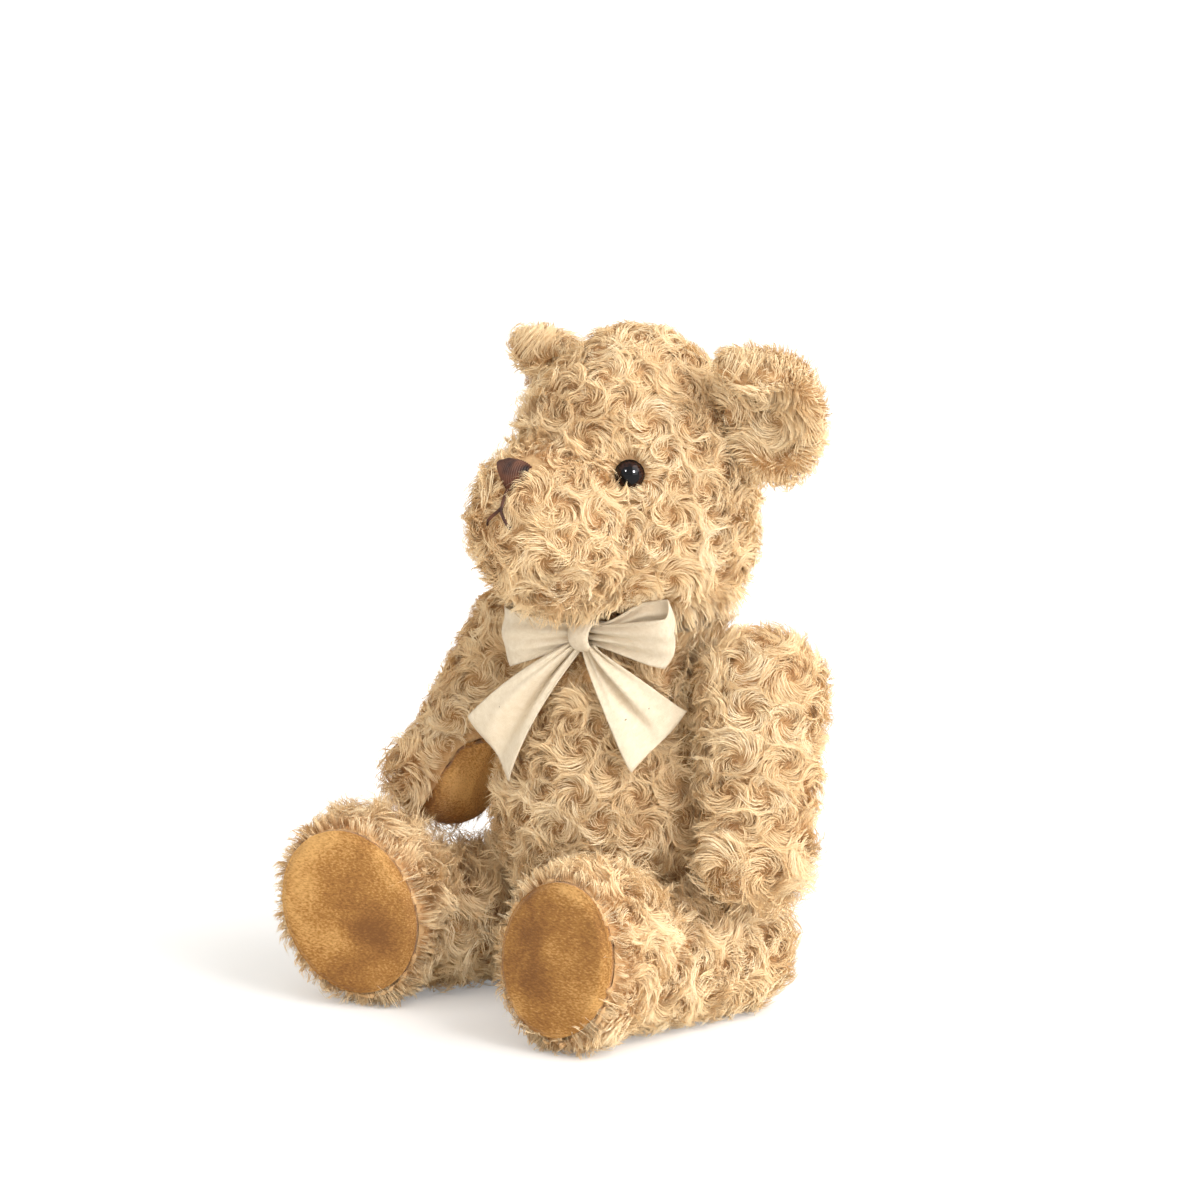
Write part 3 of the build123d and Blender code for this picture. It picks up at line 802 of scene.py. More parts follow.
def rolled(places):
    """Bends what is above the roll's start forwards and down, round a level line."""
    past = np.maximum(places[:, 2] - ear_roll_start, 0)
    turn = np.minimum(past / ear_roll_radius, ear_roll_most)
    beyond = past - turn * ear_roll_radius
    depth = places[:, 1] + ear_roll_radius
    moved = places.copy()
    moved[:, 1] = -ear_roll_radius + depth * np.cos(turn) - beyond * np.sin(turn)
    moved[:, 2] = np.minimum(places[:, 2], ear_roll_start) + depth * np.sin(turn) + beyond * np.cos(turn)
    return np.where(past[:, None] > 0, moved, places)


def ear_form(side):
    """An ear's backing cloth, stuffed thin."""
    panels = [vertices_of(nodes[f"{side}_ear_{part}_panel"].data) for part in ("front", "back")]
    corners = np.concatenate(panels)
    low, high = corners.min(0), corners.max(0)
    radius = (high[2] - low[2]) / 2 - ear_inset
    middle = (high + low) / 2
    tip = high[0] if side == "left" else low[0]
    middle[0] = tip - side_sign[side] * (radius + ear_inset) * 0.97
    middle[1] += ear_set_back
    places = []
    for sheet, share, angle in round_sheets(ear_rings, ear_spokes):
        x, z = radius * share * math.cos(angle), radius * share * math.sin(angle)
        z *= 1 + (ear_stretch - 1) * soft_step(z / radius, 0.0, 0.7)
        depth = (2 * sheet - 1) * ear_half_depth * math.sqrt(max(1 - share**6, 0))
        places.append((x, depth + ear_cup * (1 - share**2), z))
    places = rolled(np.array(places)) * ear_share[side]
    turn = Matrix.Rotation(ear_turn * side_sign[side], 3, "Z") @ Matrix.Rotation(ear_lean, 3, "X")
    places = places @ np.array(turn).T + (middle + np.array(ear_shift[side]))
    name = f"{side}_ear_cover"
    mesh = new_mesh(name, places.tolist(), faces=round_faces(ear_rings, ear_spokes, False))
    closed_up(mesh, 0.02 * mm, cuts=1)
    smoothed(mesh, 3)
    return add_object(name, mesh, backing)


# The covers under the pile ----------------------------------------------------------------------
covers = {
    "torso": ["body_left_panel", "body_right_panel", "body_stuffing"],
    "head": ["head_gusset", "head_left_panel", "head_right_panel", "head_stuffing"],
}
for side in sides:
    for limb in ("arm", "leg"):
        body = f"{side}_{limb}"
        covers[body] = [f"{body}_{part}" for part in ("inner_panel", "outer_panel", "stuffing")]
skins = {body: backing_form(f"{body}_cover", members) for body, members in covers.items()}
torso_surface = surface_of(skins["torso"])
neck_height = joint_place("neck_turn")[2]
chin = neck_height + 1.0 * mm


# Threads: the nose and the mouth ----------------------------------------------------------------
def thread_tree():
    """Gives every line of a mesh the round section of a thread."""
    inputs = {"Lines": "Geometry", "Radius": "Float", "Sides": "Int", "Material": "Material"}
    tree, given = geometry_group("threads", inputs)
    lines = tree.add("GeometryNodeMeshToCurve", {"Mesh": given["Lines"]})
    ring = {"Resolution": given["Sides"], "Radius": given["Radius"]}
    section = tree.add("GeometryNodeCurvePrimitiveCircle", ring)
    sockets = {"Curve": lines, "Profile Curve": section, "Fill Caps": True}
    threads = tree.add("GeometryNodeCurveToMesh", sockets)
    threads = tree.add("GeometryNodeRealizeInstances", {"Geometry": threads})
    return finished_group(tree, threads, given["Material"])


spinning = thread_tree()
thread_sides = 7


def sew(name, paths, radius, node):
    """Threads along these paths, each a row of points, as one piece on the head."""
    edges, start = [], 0
    for path in paths:
        edges += [(start + k, start + k + 1) for k in range(len(path) - 1)]
        start += len(path)
    lines = add_object(name + "_lines", new_mesh(name, np.concatenate(paths).tolist(), edges))
    made = run_tree(lines, spinning, {"Radius": radius, "Sides": thread_sides, "Material": thread})
    remove(lines)
    made.name = name
    made_smooth(made)
    hand_over(add_object(name, made), "head", "thread", node)


def farthest(node, way):
    """The corner of a node that lies farthest in a direction."""
    corners = vertices_of(nodes[node].data)
    return corners[np.argmax(corners @ np.array(way, float))]


muzzle_radius = 34.0 * mm
nose_half_width = 8.7 * mm
nose_height = 13.6 * mm
nose_drop = 2.8 * mm  # of its middle under its node's
nose_corner = 2.2 * mm  # how far the top rounds down at its ends
nose_side = 3.6 * mm  # the height at the ends, before that rounding
nose_threads = 17
nose_low, nose_proud = -1.0 * mm, 2.2 * mm  # of the threads' ends and middles, over the muzzle's outline
nose_layer = 0.45 * mm  # of the second layer of threads under the first
philtrum_length = 7.5 * mm
philtrum_lean = 1.2 * mm
mouth_stroke = 9.5 * mm
mouth_droop = math.radians(40)
nose_thread_radius, mouth_thread_radius = 0.52 * mm, 0.45 * mm

muzzle_centre = farthest("head_left_panel", (0, -1, 0)) * (0, 1, 1) + np.array([0, muzzle_radius, 0])
nose_middle = vertices_of(nodes["nose_stitching"].data).mean(0) - upright * nose_drop
face_across = np.array([1.0, 0, 0])


def muzzle_ball(steepness, sunk):
    """A ball through the muzzle at the nose, sunk so far: its middle, its way out and its way up."""
    out = (nose_middle - muzzle_centre) * (0, 1, 1)
    out /= np.linalg.norm(out)
    front = muzzle_centre + out * (muzzle_radius - sunk)
    out = out * (1, 1, steepness)
    out /= np.linalg.norm(out)
    return front - out * muzzle_radius, out, np.cross(out, face_across)


nose_ball = muzzle_ball(0.2, 0.8 * mm)  # the nose stands steeper than the muzzle under it
mouth_ball = muzzle_ball(1.0, 0.0)


def on_ball(ball, x, y, height):
    """A place on a ball, x across and y up from the nose's middle, raised by the height."""
    centre, out, up = ball
    depth = math.sqrt(max(muzzle_radius**2 - x * x - y * y, 0))
    way = (face_across * x + up * y + out * depth) / muzzle_radius
    return centre + way * (muzzle_radius + height)


def nose_edges(x):
    """The nose's lowest and highest y at x: a triangle with round corners, point down."""
    share = np.clip(np.abs(x) / nose_half_width, 0, 1)
    top = nose_height / 2 - nose_corner * share**2.6
    return -nose_height / 2 + (nose_height - nose_side) * share**1.35, top


def nose_distance(places):
    """How far outside the nose's outline places lie, on the muzzle's front."""
    offset = places - nose_ball[0]
    x, y = offset @ face_across, offset @ nose_ball[2]
    low, top = nose_edges(x)
    gap = np.maximum(np.maximum(y - top, low - y), np.abs(x) - nose_half_width)
    return np.where(offset @ nose_ball[1] > 0, gap, 1.0)


def satin_rows(count, lowered):
    """Upright threads side by side over the nose, proudest in its middle."""
    steps = [step / 8 for step in range(9)]
    rows = []
    for k in range(count):
        x = nose_half_width * 0.97 * (2 * (k + 0.5) / count - 1)
        low, top = nose_edges(x)
        crown = math.sqrt(max(1 - (x / nose_half_width) ** 2, 0))
        rise = (nose_proud - nose_low) * (0.45 + 0.55 * crown)
        heights = [nose_low + rise * math.sin(math.pi * t) ** 0.45 - lowered for t in steps]
        rows.append([on_ball(nose_ball, x, low + (top - low) * t, h) for t, h in zip(steps, heights)])
    return [np.array(row) for row in rows]


rows = satin_rows(nose_threads, 0.0) + satin_rows(nose_threads - 1, nose_layer)
sew("nose_stitches", rows, nose_thread_radius, "nose_stitching")

line_end = -nose_height / 2 - philtrum_length


def mouth_line(shift):
    """The philtrum, from under the nose to where the mouth's strokes begin."""
    path = []
    for t in (0, 0.25, 0.5, 0.75, 1):
        y = (1 - t) * (1 * mm - nose_height / 2) + t * line_end
        path.append(on_ball(mouth_ball, shift + philtrum_lean * t, y, (0.8 * t - 2.4) * mm))
    return np.array(path)


def mouth_side(sign, shift):
    """One stroke of the mouth, side_sign and down."""
    path = []
    for step in range(7):
        t = step / 6
        x = philtrum_lean * (1 - t) + sign * mouth_stroke * math.cos(mouth_droop) * t
        y = line_end - mouth_stroke * math.sin(mouth_droop) * t**0.8 + shift
        path.append(on_ball(mouth_ball, x, y, (-1.2 - 1.6 * max(2 * t - 1, 0) ** 3) * mm))
    return np.array(path)


mouth_lines = [mouth_line(shift * mm) for shift in (-0.3, 0.3)]
mouth_sides = [mouth_side(sign, shift * mm) for sign in (-1, 1) for shift in (0.0, 0.7)]
sew("mouth_stitches", mouth_lines + mouth_sides, mouth_thread_radius, "mouth_stitching")

# Eyes: the turned shapes stay, with a glossy finish round each one's own axis
eyes = {}
for side in sides:
    middle = np.array(middle_of(f"{side}_eye"))
    axis = middle * (1, 1, 0) / np.linalg.norm(middle[:2])
    eyes[side] = (middle, axis)
    nodes[f"{side}_eye"].material_slots[0].material = eye_material(f"{side}_eye_plastic", middle, axis)


# Bow: loops, tails, knot and neck ribbon, all of calico -----------------------------------------
cloth_thickness = 0.55 * mm
cloth_clearance = 6.0 * mm  # from the backing's surface, over the pile pressed down under it
cloth_reach = 14.0 * mm  # how far from the cloth the pile is looked at for being pressed down
weave_scale = 8  # of the cloth's own coordinates, per metre
knot_middle = np.array(middle_of("bow_knot"))
knot_out = knot_middle * (1, 1, 0) / np.linalg.norm(knot_middle[:2])
knot_left = np.cross(upright, knot_out)
loop_mouth = 3.6 * mm  # a loop's half height where it leaves the knot
loop_fullness = 2.1  # a loop's flat length over its reach
strip_width = 24.5 * mm
knot_size = (11 * mm, 38 * mm)
ribbon_size = (11 * mm, 184 * mm)
ribbon_seen_width = 7.6 * mm  # once it is creased


def clear_of_torso(places):
    """Moves a grid of places out of the torso's pile, and evens what was moved."""
    for row in places:
        for index, place in enumerate(row):
            near, normal, _, distance = torso_surface.find_nearest(Vector(place))
            inside = (Vector(place) - near).dot(normal) < 0
            if (-distance if inside else distance) < cloth_clearance:
                row[index] = near + normal * cloth_clearance
    evened = (places[:-2] + 2 * places[1:-1] + places[2:]) / 4
    places[1:-1, 1:-1] = evened[:, 1:-1]


def lay(node, shape, size, steps, hung=False, closed=False):
    """A calico piece: shape gives a place for a share of the way along and of the way across."""
    rows, columns = steps
    along, across = np.linspace(0, 1, rows), np.linspace(0, 1, columns)
    places = np.array([[shape(u, v) for v in across] for u in along])
    if hung:
        clear_of_torso(places)
    width, length = size
    firsts = [i * columns + j for i in range(rows - 1) for j in range(columns - 1)]
    faces = [(first, first + 1, first + columns + 1, first + columns) for first in firsts]
    name = f"{node}_cloth"
    mesh = new_mesh(name, places.reshape(-1, 3).tolist(), faces=faces)
    layer = mesh.uv_layers.new(name="cloth")
    for loop in mesh.loops:
        i, j = divmod(loop.vertex_index, columns)
        u, v = along[i] * length * weave_scale, across[j] * width * weave_scale
        layer.data[loop.index].uv = (0.1 + u, 0.1 + v)
    made_smooth(mesh)
    obj = add_object(name, mesh, calico)
    if closed:
        closed_up(mesh, 0.01 * mm, turned=False)
    wall = obj.modifiers.new("cloth_thickness", "SOLIDIFY")
    wall.thickness = cloth_thickness
    wall.offset = 0
    obj.data = evaluated_mesh(obj)
    obj.modifiers.clear()
    bpy.data.meshes.remove(mesh)
    obj.data.name = name
    hand_over(obj, "torso", "ribbon", node)
    return obj


def loop_shape(end, half_height, open_up, phase):
    """Out from the knot along the front layer, round the end and back along the back layer."""
    way = end - knot_middle
    reach = np.linalg.norm(way)
    way = way / reach
    up = upright - way * (upright @ way)
    up /= np.linalg.norm(up)
    out = np.cross(up, way)
    out *= np.sign(out @ knot_out)

    def shape(u, v):
        going = math.sin(math.pi * u)
        far = going**0.75
        across = 2 * v - 1
        front = math.sin(2 * math.pi * u) * 4.2 * mm * (0.55 + 0.45 * going)
        high = loop_mouth + (half_height - loop_mouth) * far**1.15
        gathers = math.cos(5 * math.pi * v + phase) * 2.0 * mm * (1 - far) ** 0.6 * math.sin(math.pi * v)
        folds = math.cos(3 * math.pi * v + phase) * 3.2 * mm * far * (1 - 0.85 * far)
        back_layer = soft_step(u, 0.42, 0.62) * (1 - soft_step(u, 0.8, 1.0))
        bulge = 1 - 0.06 * across**2 - 0.012 * math.cos(4 * math.pi * v + phase)
        place = knot_middle + way * (reach * far * bulge) + out * (front + gathers + folds)
        return place + up * (high * across + open_up * back_layer) - knot_out * 1.5 * mm * (1 - far)

    return shape


def by_knot(out, left, down):
    """A place beside the knot's middle, in millimetres."""
    return knot_middle + (knot_out * out + knot_left * left - upright * down) * mm


def tail_shape(corner, tip, sign, phase):
    """Down from under the knot, widening to a slanting cut from the outer corner to the tip."""
    inner_start, outer_start = by_knot(1.0, sign * 0.5, 5.0), by_knot(0.5, sign * 5.5, 3.0)

    def fold(v, middle, depth):
        return depth * math.exp(-(((v - middle) / 0.13) ** 2))

    def shape(u, v):
        sway = math.sin(math.pi * u)
        inner = inner_start + (tip - inner_start) * u + knot_left * sign * 1.5 * mm * sway
        outer = outer_start + (corner - outer_start) * u + upright * 2.0 * mm * sway
        valley = fold(v, 0.4, -5.5 * mm) * sway**0.5 * (1 - 0.4 * u)
        ridge = fold(v, 0.66, 2.6 * mm) * sway**0.6
        gathers = math.cos(6 * math.pi * v + phase) * 1.2 * mm * (1 - soft_step(u, 0.0, 0.75))
        roll = 1.6 * mm * math.sin(2 * math.pi * v + phase) * u
        stand_off = 4.5 * mm * sway**0.6 + 1.5 * mm * u
        return inner + (outer - inner) * v + knot_out * (valley + ridge + gathers + roll + stand_off)

    return shape


def knot_shape(u, v):
    """A band wrapped once round, up over the front and down behind, pinched at its sides."""
    angle = 2 * math.pi * u
    side = 2 * v - 1
    pinch = 1 - 0.22 * abs(side) ** 3
    crease = 0.22 * mm * math.cos(3 * math.pi * side) * abs(math.sin(angle / 2))
    radius_out, radius_up = 5.6 * mm * pinch + crease, 6.4 * mm * pinch + crease
    place = knot_middle + knot_left * (side * 5.0 * mm * (1 - 0.06 * math.cos(angle)))
    return place + knot_out * (radius_out * math.cos(angle)) + upright * (radius_up * math.sin(angle))


def ribbon_shape(u, v):
    """Once round the neck under the pile, with soft lengthways creases."""
    low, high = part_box("neck_ribbon")
    angle = 2 * math.pi * u
    wave = 0.5 * mm * math.sin(5 * angle + 4 * v) + 0.6 * mm * math.cos(4 * math.pi * v)
    radius = (high[0] - low[0]) / 2 - 1.0 * mm + wave * 0.6
    height = low[2] + (high[2] - low[2]) * (0.04 + 0.92 * v) + 0.3 * mm * math.sin(3 * angle)
    return np.array([radius * math.cos(angle), radius * math.sin(angle), height])


# Each side's loop: its half height, how far it opens, where its end moves to, and its folds' phase
loops = {
    "left": (10.0 * mm, 7.0 * mm, (9, 12, 0.5), 0.6),
    "right": (12.2 * mm, 1.5 * mm, (-1, -2, -3.0), 2.2),
}
bow_pieces = []
for side, (half_height, opened, relaxed, phase) in loops.items():
    sign, loop, tail = side_sign[side], f"bow_{side}_loop", f"bow_{side}_tail"
    end = farthest(loop, (sign, 0, 0))
    end[2] = knot_middle[2]
    end = end + np.array(relaxed) * mm
    size = (strip_width, loop_fullness * np.linalg.norm(end - knot_middle))
    bow_pieces.append(lay(loop, loop_shape(end, half_height, opened, phase), size, (64, 28)))
    corner, tip = farthest(tail, (sign, 0, 0)), farthest(tail, (0, 0, -1))
    if side == "left":  # the arm's pile carries this tail side_sign
        corner = corner + np.array((5.5, 9.5, 0)) * mm
        tip = tip + np.array((6.5, 3.0, 0.5)) * mm
    length = np.linalg.norm((corner + tip) / 2 - knot_middle)
    size, area = (strip_width, length * 1.2), strip_width * length * 0.68
    shape = tail_shape(corner, tip, sign, phase)
    bow_pieces.append(lay(tail, shape, size, (56, 30), hung=True))
lay("bow_knot", knot_shape, knot_size, (40, 14), closed=True)
area = ribbon_seen_width * ribbon_size[1]
lay("neck_ribbon", ribbon_shape, ribbon_size, (120, 7), closed=True)


def near_cloth(places):
    """1 under the bow's cloth, 0 well away from it."""
    found = np.full(len(places), 1.0)
    for piece in bow_pieces:
        surface = surface_of(piece)
        for index, place in enumerate(places):
            hit = surface.find_nearest(Vector(place), cloth_reach)
            if hit[0] is not None:
                found[index] = min(found[index], hit[3])
    return 1 - soft_step(found, 7.0 * mm, 11.0 * mm)


# Suede pads -------------------------------------------------------------------------------------
pad_rings, pad_spokes = 22, 72
pad_inset = 0.985  # the suede's share of the oval
pad_back = 4.4 * mm  # how deep under the node's face the suede's back lies
pad_ray = 20 * mm
pads = {"sole": ("leg", 1.6 * mm, 0.22 * mm), "hand_pad": ("arm", 0.4 * mm, 0.15 * mm)}


def suede_pad(name, node, body, crown, puckers):
    """An oval of suede on a node's outer face, crowned, with a gathered rim."""
    middle, ways, halves = pad_oval(node)
    outward = ways[2] * np.sign((middle - vertices_of(skins[body].data).mean(0)) @ ways[2])
    surface = surface_of(nodes[node])

    def on_face(x, y):
        place = middle + ways[0] * x + ways[1] * y
        if node in pad_fit:  # a flat one
            return place + outward * halves[2]
        hit = surface.ray_cast(Vector(place + outward * pad_ray), Vector(-outward))[0]
        return np.array(surface.find_nearest(Vector(place))[0] if hit is None else hit)

    places = []
    for sheet, share, angle in round_sheets(pad_rings, pad_spokes):
        x, y = halves[0] * share * math.cos(angle), halves[1] * share * math.sin(angle)
        dent = 0.5 * mm * math.sin(3 * angle + 0.7) * share**2 * (1 - share**4)
        gather = puckers * math.cos(19 * angle + math.sin(3 * angle)) * soft_step(share, 0.8, 0.97)
        depth = crown * (1 - share**2) + dent + gather - 1.6 * mm * soft_step(share, 0.9, 1.0)
        places.append(on_face(x * pad_inset, y * pad_inset) + outward * (-pad_back if sheet else depth))
    mesh = new_mesh(name, np.array(places).tolist(), faces=round_faces(pad_rings, pad_spokes, True))
    closed_up(mesh, 0.02 * mm)
    made_smooth(mesh)
    obj = hand_over(add_object(name, mesh, suede), body, "suede", node)


for side in sides:
    for pad, (limb, crown, puckers) in pads.items():
        name = f"{side}_{pad.removesuffix('_pad')}_suede"
        suede_pad(name, f"{side}_{pad}", f"{side}_{limb}", crown, puckers)

# Joint parts, which stay as they are, in white plastic
for name, node in nodes.items():
    if name.endswith(("_disc", "_washer")):
        node.material_slots[0].material = disc_plastic


# How the pile lies on each cover: where it grows, which way it flows, how long and how high -----
crown_low, crown_high = 235 * mm, 262 * mm  # between these the pile comes to lie flatter
brow_points = [(-30 * mm, -36 * mm, 222 * mm), (-26 * mm, -40 * mm, 236 * mm)]  # and stands up here


def along_skin(places, normals, source):
    """Unit vectors on the skin that point away from a place."""
    away = places - source
    away -= normals * np.einsum("ij,ij->i", away, normals)[:, None]
    return away / np.maximum(np.linalg.norm(away, axis=1), 1e-6)[:, None]


def from_axis(places, point, axis):
    """Distances of places from the line through a point along an axis, on the side that it points to."""
    offset = places - point
    depth = offset @ axis
    return np.where(depth > -20 * mm, np.linalg.norm(offset - np.outer(depth, axis), axis=1), 1.0)


def head_whorls(skin):
    """Parts round the nose, the mouth and the eyes, and hangs under the chin."""
    places, normals = vertices_of(skin.data), normals_of(skin.data)
    beneath = (places[:, 2] < chin + 6 * mm) & (np.hypot(places[:, 0], places[:, 1]) < 25 * mm)
    on_nose = nose_distance(places)
    cover = np.where(beneath, 0.0, 1.0) * soft_step(on_nose, 0.5 * mm, 1.4 * mm)
    round_nose = 1 - soft_step(on_nose, 3 * mm, 10 * mm)
    flow = along_skin(places, normals, nose_middle) * 0.35 * round_nose[:, None]
    length = 0.5 + 0.5 * soft_step(on_nose, 0.5 * mm, 7 * mm)
    line_points = np.concatenate(mouth_lines)
    mouth_points = np.concatenate([line_points, *mouth_sides])
    length *= 1 - 0.75 * near_points(places, mouth_points, 3.2 * mm, 6.0 * mm)
    cover *= 1 - 0.7 * near_points(places, line_points, 1.2 * mm, 2.4 * mm)
    for eye, axis in eyes.values():
        out = from_axis(places, eye, axis)
        beside = 1 - soft_step(out, 9 * mm, 14 * mm)
        below = soft_step(eye[2] - places[:, 2], 2 * mm, 6 * mm)
        flow += along_skin(places, normals, eye) * (beside * (1 - 1.5 * below))[:, None]
        length *= 1 - 0.5 * (1 - soft_step(out, 6 * mm, 13 * mm)) * (1 - 0.5 * below)
        cover *= soft_step(out, 5.2 * mm, 6.2 * mm)
    under_chin = 1 - soft_step(places[:, 2], chin + 6 * mm, chin + 18 * mm)
    flow -= upright * 0.8 * under_chin[:, None]
    cloth = near_cloth(places)
    crown = soft_step(places[:, 2], crown_low, crown_high)
    brow = near_points(places, brow_points, 8 * mm, 22 * mm)
    raised_by = length * (1 + 0.9 * under_chin) * (1 - 0.8 * cloth) * (1 - 0.35 * crown) * (1 + 0.6 * brow)
    add_whorls(skin, cover, flow, length * ((1 + 0.4 * under_chin) * (1 - 0.4 * cloth)), raised_by)


def body_whorls(skin):
    """Stands up to the head as a collar, and lies down under the bow."""
    places = vertices_of(skin.data)
    cover = np.where(places[:, 2] > neck_height - 9.5 * mm, 0.0, 1.0)
    for joint in ("left_shoulder_turn", "right_shoulder_turn", "left_hip_turn", "right_hip_turn"):
        cover *= 1 - near_points(places, [joint_place(joint)], 13.0 * mm, 16.0 * mm)
    collar = soft_step(places[:, 2], neck_height - 24 * mm, neck_height - 15 * mm)
    cloth = near_cloth(places)
    length, raised_by = (1 + 0.3 * collar) * (1 - 0.6 * cloth), (1 + 1.3 * collar) * (1 - 0.7 * cloth)
    add_whorls(skin, cover, upright * 0.8 * collar[:, None], length, raised_by)


def limb_whorls(skin, body, pad, joint):
    """Leaves the joint and the pad bare, and flows out round the pad."""
    places, normals = vertices_of(skin.data), normals_of(skin.data)
    oval = pad_oval(pad)
    middle, ways, _ = oval
    outward = ways[2] * np.sign((middle - places.mean(0)) @ ways[2])
    facing = soft_step(normals @ outward, 0.3, 0.8)[:, None]
    under = in_oval(places, oval, 0.9 * mm, 9 * mm)
    cover = 1.0 - under * (facing[:, 0] > 0.1)
    cover *= 1 - near_points(places, [joint_place(joint)], 15.0 * mm, 18.0 * mm)
    away = places - middle
    out = away - np.outer(away @ ways[2], ways[2])
    out /= np.maximum(np.linalg.norm(out, axis=1), 1e-6)[:, None]
    rim = in_oval(places, oval, 7.5 * mm, 12 * mm) * 1.0
    under = under[:, None] * (1 - facing)
    flow = (outward * 0.45 * (1 - facing) * (1 - under) + out * 0.4 * facing) * rim[:, None]
    flow += out * 0.8 * under
    raised_by = (1 - 0.1 * rim) * (0.75 if body == "right_arm" else 1.0)
    if body.endswith("arm"):  # the pile hangs fuller over the hand
        hanging = np.linalg.norm(places - joint_place(joint), axis=1)
        raised_by *= 1 + (0.9 if body == "right_arm" else 0.5) * soft_step(hanging, 62 * mm, 82 * mm)
    else:  # and over the top of the thigh
        thigh = soft_step(places[:, 2], 30 * mm, 46 * mm) * soft_step(places[:, 1], -96 * mm, -70 * mm)
        raised_by *= 1 + (1.1 if body == "right_leg" else 0.5) * thigh
    add_whorls(skin, cover, flow, 1 - 0.15 * rim, raised_by)


def ear_whorls(skin):
    """Flows out to the rim, in smaller whorls."""
    places, normals = vertices_of(skin.data), normals_of(skin.data)
    cover = np.where(np.hypot(places[:, 0], places[:, 1]) < 40 * mm, 0.0, 1.0)
    middle = places.mean(0)
    rim = soft_step(np.linalg.norm((places - middle)[:, [0, 2]], axis=1), 15 * mm, 24 * mm)
    flow = along_skin(places, normals, middle) * 0.8 * rim[:, None]
    add_whorls(skin, cover, flow, spacing=ear_whorl_spacing)


head_whorls(skins["head"])
body_whorls(skins["torso"])
for side in sides:
    for limb, pad, joint in (("arm", "hand_pad", "shoulder_turn"), ("leg", "sole", "hip_turn")):
        body = f"{side}_{limb}"
        limb_whorls(skins[body], body, f"{side}_{pad}", f"{side}_{joint}")
ears = {side: ear_form(side) for side in sides}
for ear in ears.values():
    ear_whorls(ear)


# The pieces of cover and pile -------------------------------------------------------------------
def declare_cover(obj, body, members):
    hand_over(obj, body, "fur", *members)
    made_smooth(obj.data)


for body, members in covers.items():
    declare_cover(skins[body], body, members)
for side, ear in ears.items():
    declare_cover(ear, "head", [f"{side}_ear_front_panel", f"{side}_ear_back_panel"])

gusset_from, gusset_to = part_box("head_gusset")


def on_gusset(places):
    return (np.abs(places[:, 0]) < (gusset_to[0] - gusset_from[0]) / 2) & (places[:, 2] > gusset_from[2])


grow("head_gusset_pile", skins["head"], "head", on_gusset)
for side, sign in side_sign.items():
    grow(f"head_{side}_pile", skins["head"], "head", lambda p: ~on_gusset(p) & (p[:, 0] * sign > 0))
    for part, way in (("front", -1), ("back", 1)):
        name = f"body_{side}_{part}_pile"
        grow(name, skins["torso"], "torso", lambda p: (p[:, 0] * sign > 0) & (p[:, 1] * way > 0))
    grow(f"{side}_ear_pile", ears[side], "head", length=ear_pile_length, lift=ear_pile_lift)
    for body in (f"{side}_arm", f"{side}_leg"):
        low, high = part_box(f"{body}_stuffing")
        seam_x = (low[0] + high[0]) / 2
        grow(f"{body}_outer_pile", skins[body], body, lambda p: (p[:, 0] - seam_x) * sign > 0)
        grow(f"{body}_inner_pile", skins[body], body, lambda p: (p[:, 0] - seam_x) * sign <= 0)


# Camera, light and floor ------------------------------------------------------------------------
def looking_from(name, data, way):
    """An object that faces back along a direction, to the middle."""
    obj = add_object(name, data)
    obj.rotation_mode = "QUATERNION"
    obj.rotation_quaternion = (-Vector(way)).to_track_quat("-Z", "Y")
    return obj


def make_camera():
    turn, rise = math.radians(camera_azimuth), math.radians(camera_elevation)
    right = Vector((math.cos(turn), math.sin(turn), 0))
    back = Vector((math.sin(turn) * math.cos(rise), -math.cos(turn) * math.cos(rise), math.sin(rise)))
    camera = looking_from("camera", bpy.data.cameras.new("camera"), back)
    camera.data.lens = camera.data.sensor_width * camera_distance / view_width
    camera.data.clip_end = 20
    camera.location = right * -view_left_shift + back.cross(right) * view_rise + back * camera_distance
    bpy.context.scene.camera = camera


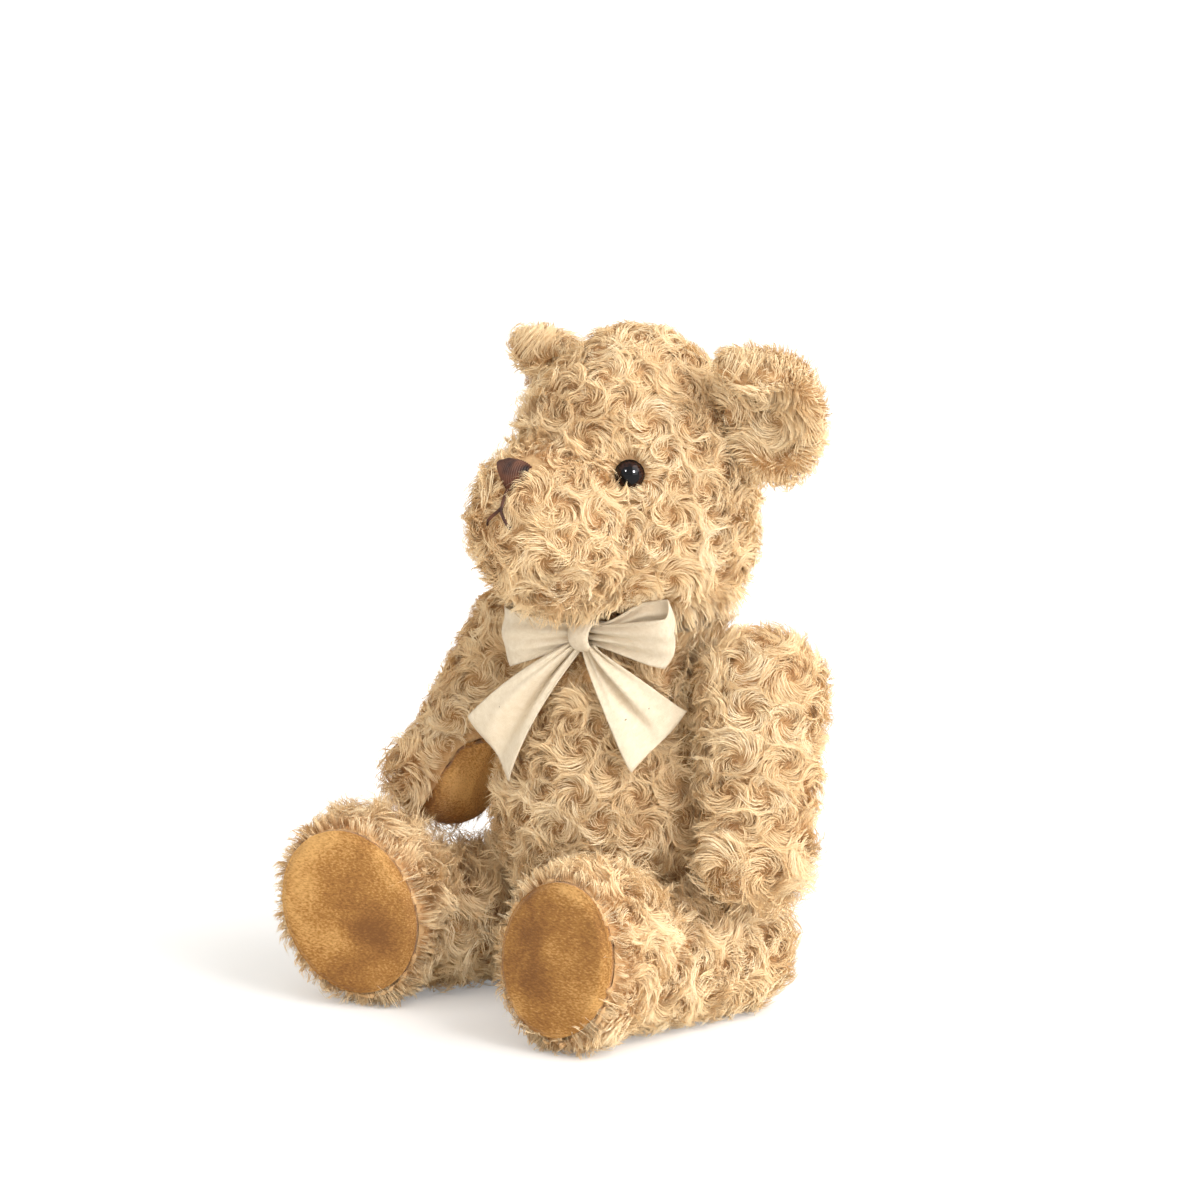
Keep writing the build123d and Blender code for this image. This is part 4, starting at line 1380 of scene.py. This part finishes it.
def sun_light(name, place, softness, power):
    """A broad even light from the direction of a place, like a large softbox far off."""
    lamp = looking_from(name, bpy.data.lights.new(name, "SUN"), place)
    lamp.data.angle = math.radians(softness)
    lamp.data.energy = power


def catch_light(place, size, power):
    """A small window of light that only glossy surfaces show."""
    lamp = looking_from("catch_light", bpy.data.lights.new("catch_light", "AREA"), place)
    lamp.data.size = size
    lamp.data.energy = power
    lamp.location = place
    lamp.visible_diffuse = False


def make_floor():
    """A white floor that glows a little where it is seen, but lights nothing."""
    made, tree, shader = material("white_floor", {"Roughness": 0.9})
    shader.inputs["Base Color"].default_value = (0.86, 0.86, 0.855, 1)
    plain = Term(tree, shader.outputs[0])
    glow = tree.add("ShaderNodeEmission", {"Color": (1, 1, 1, 1), "Strength": 0.24}, "Emission")
    total = tree.add("ShaderNodeAddShader", {0: plain, 1: glow}, "Shader")
    both = tree.add("ShaderNodeMixShader", {0: tree.seen_directly(), 1: plain, 2: total}, "Shader")
    output = made.node_tree.nodes["Material Output"]
    made.node_tree.links.new(both.socket, output.inputs["Surface"])
    half = 6
    corners = [(-half, -half, 0), (half, -half, 0), (half, half, 0), (-half, half, 0)]
    add_object("floor", new_mesh("floor", corners, faces=[(0, 1, 2, 3)]), made)


def make_world():
    """Slightly warm light all round, which looks white."""
    world = bpy.data.worlds.new("studio")
    bpy.context.scene.world = world
    world.use_nodes = True
    tree = Tree(world.node_tree)
    background = world.node_tree.nodes["Background"]
    seen = tree.seen_directly()
    join(tree, tree.mix(seen, linear(255, 251, 244), linear(255, 255, 255)), background, "Color")
    join(tree, seen * 0.25 + 0.75, background, "Strength")


make_camera()
sun_light("key", (1.0, 0.2, 0.78), softness=50, power=2.35)
sun_light("low_side", (1.0, -0.1, 0.16), softness=40, power=1.15)
sun_light("front_fill", (0.3, -1.0, 0.6), softness=80, power=0.3)
catch_light((1.3, -0.35, 0.75), size=0.26, power=60)
catch_light((0.25, -1.2, 0.8), size=0.16, power=16)
make_floor()
make_world()
bpy.context.scene.view_settings.view_transform = "Standard"
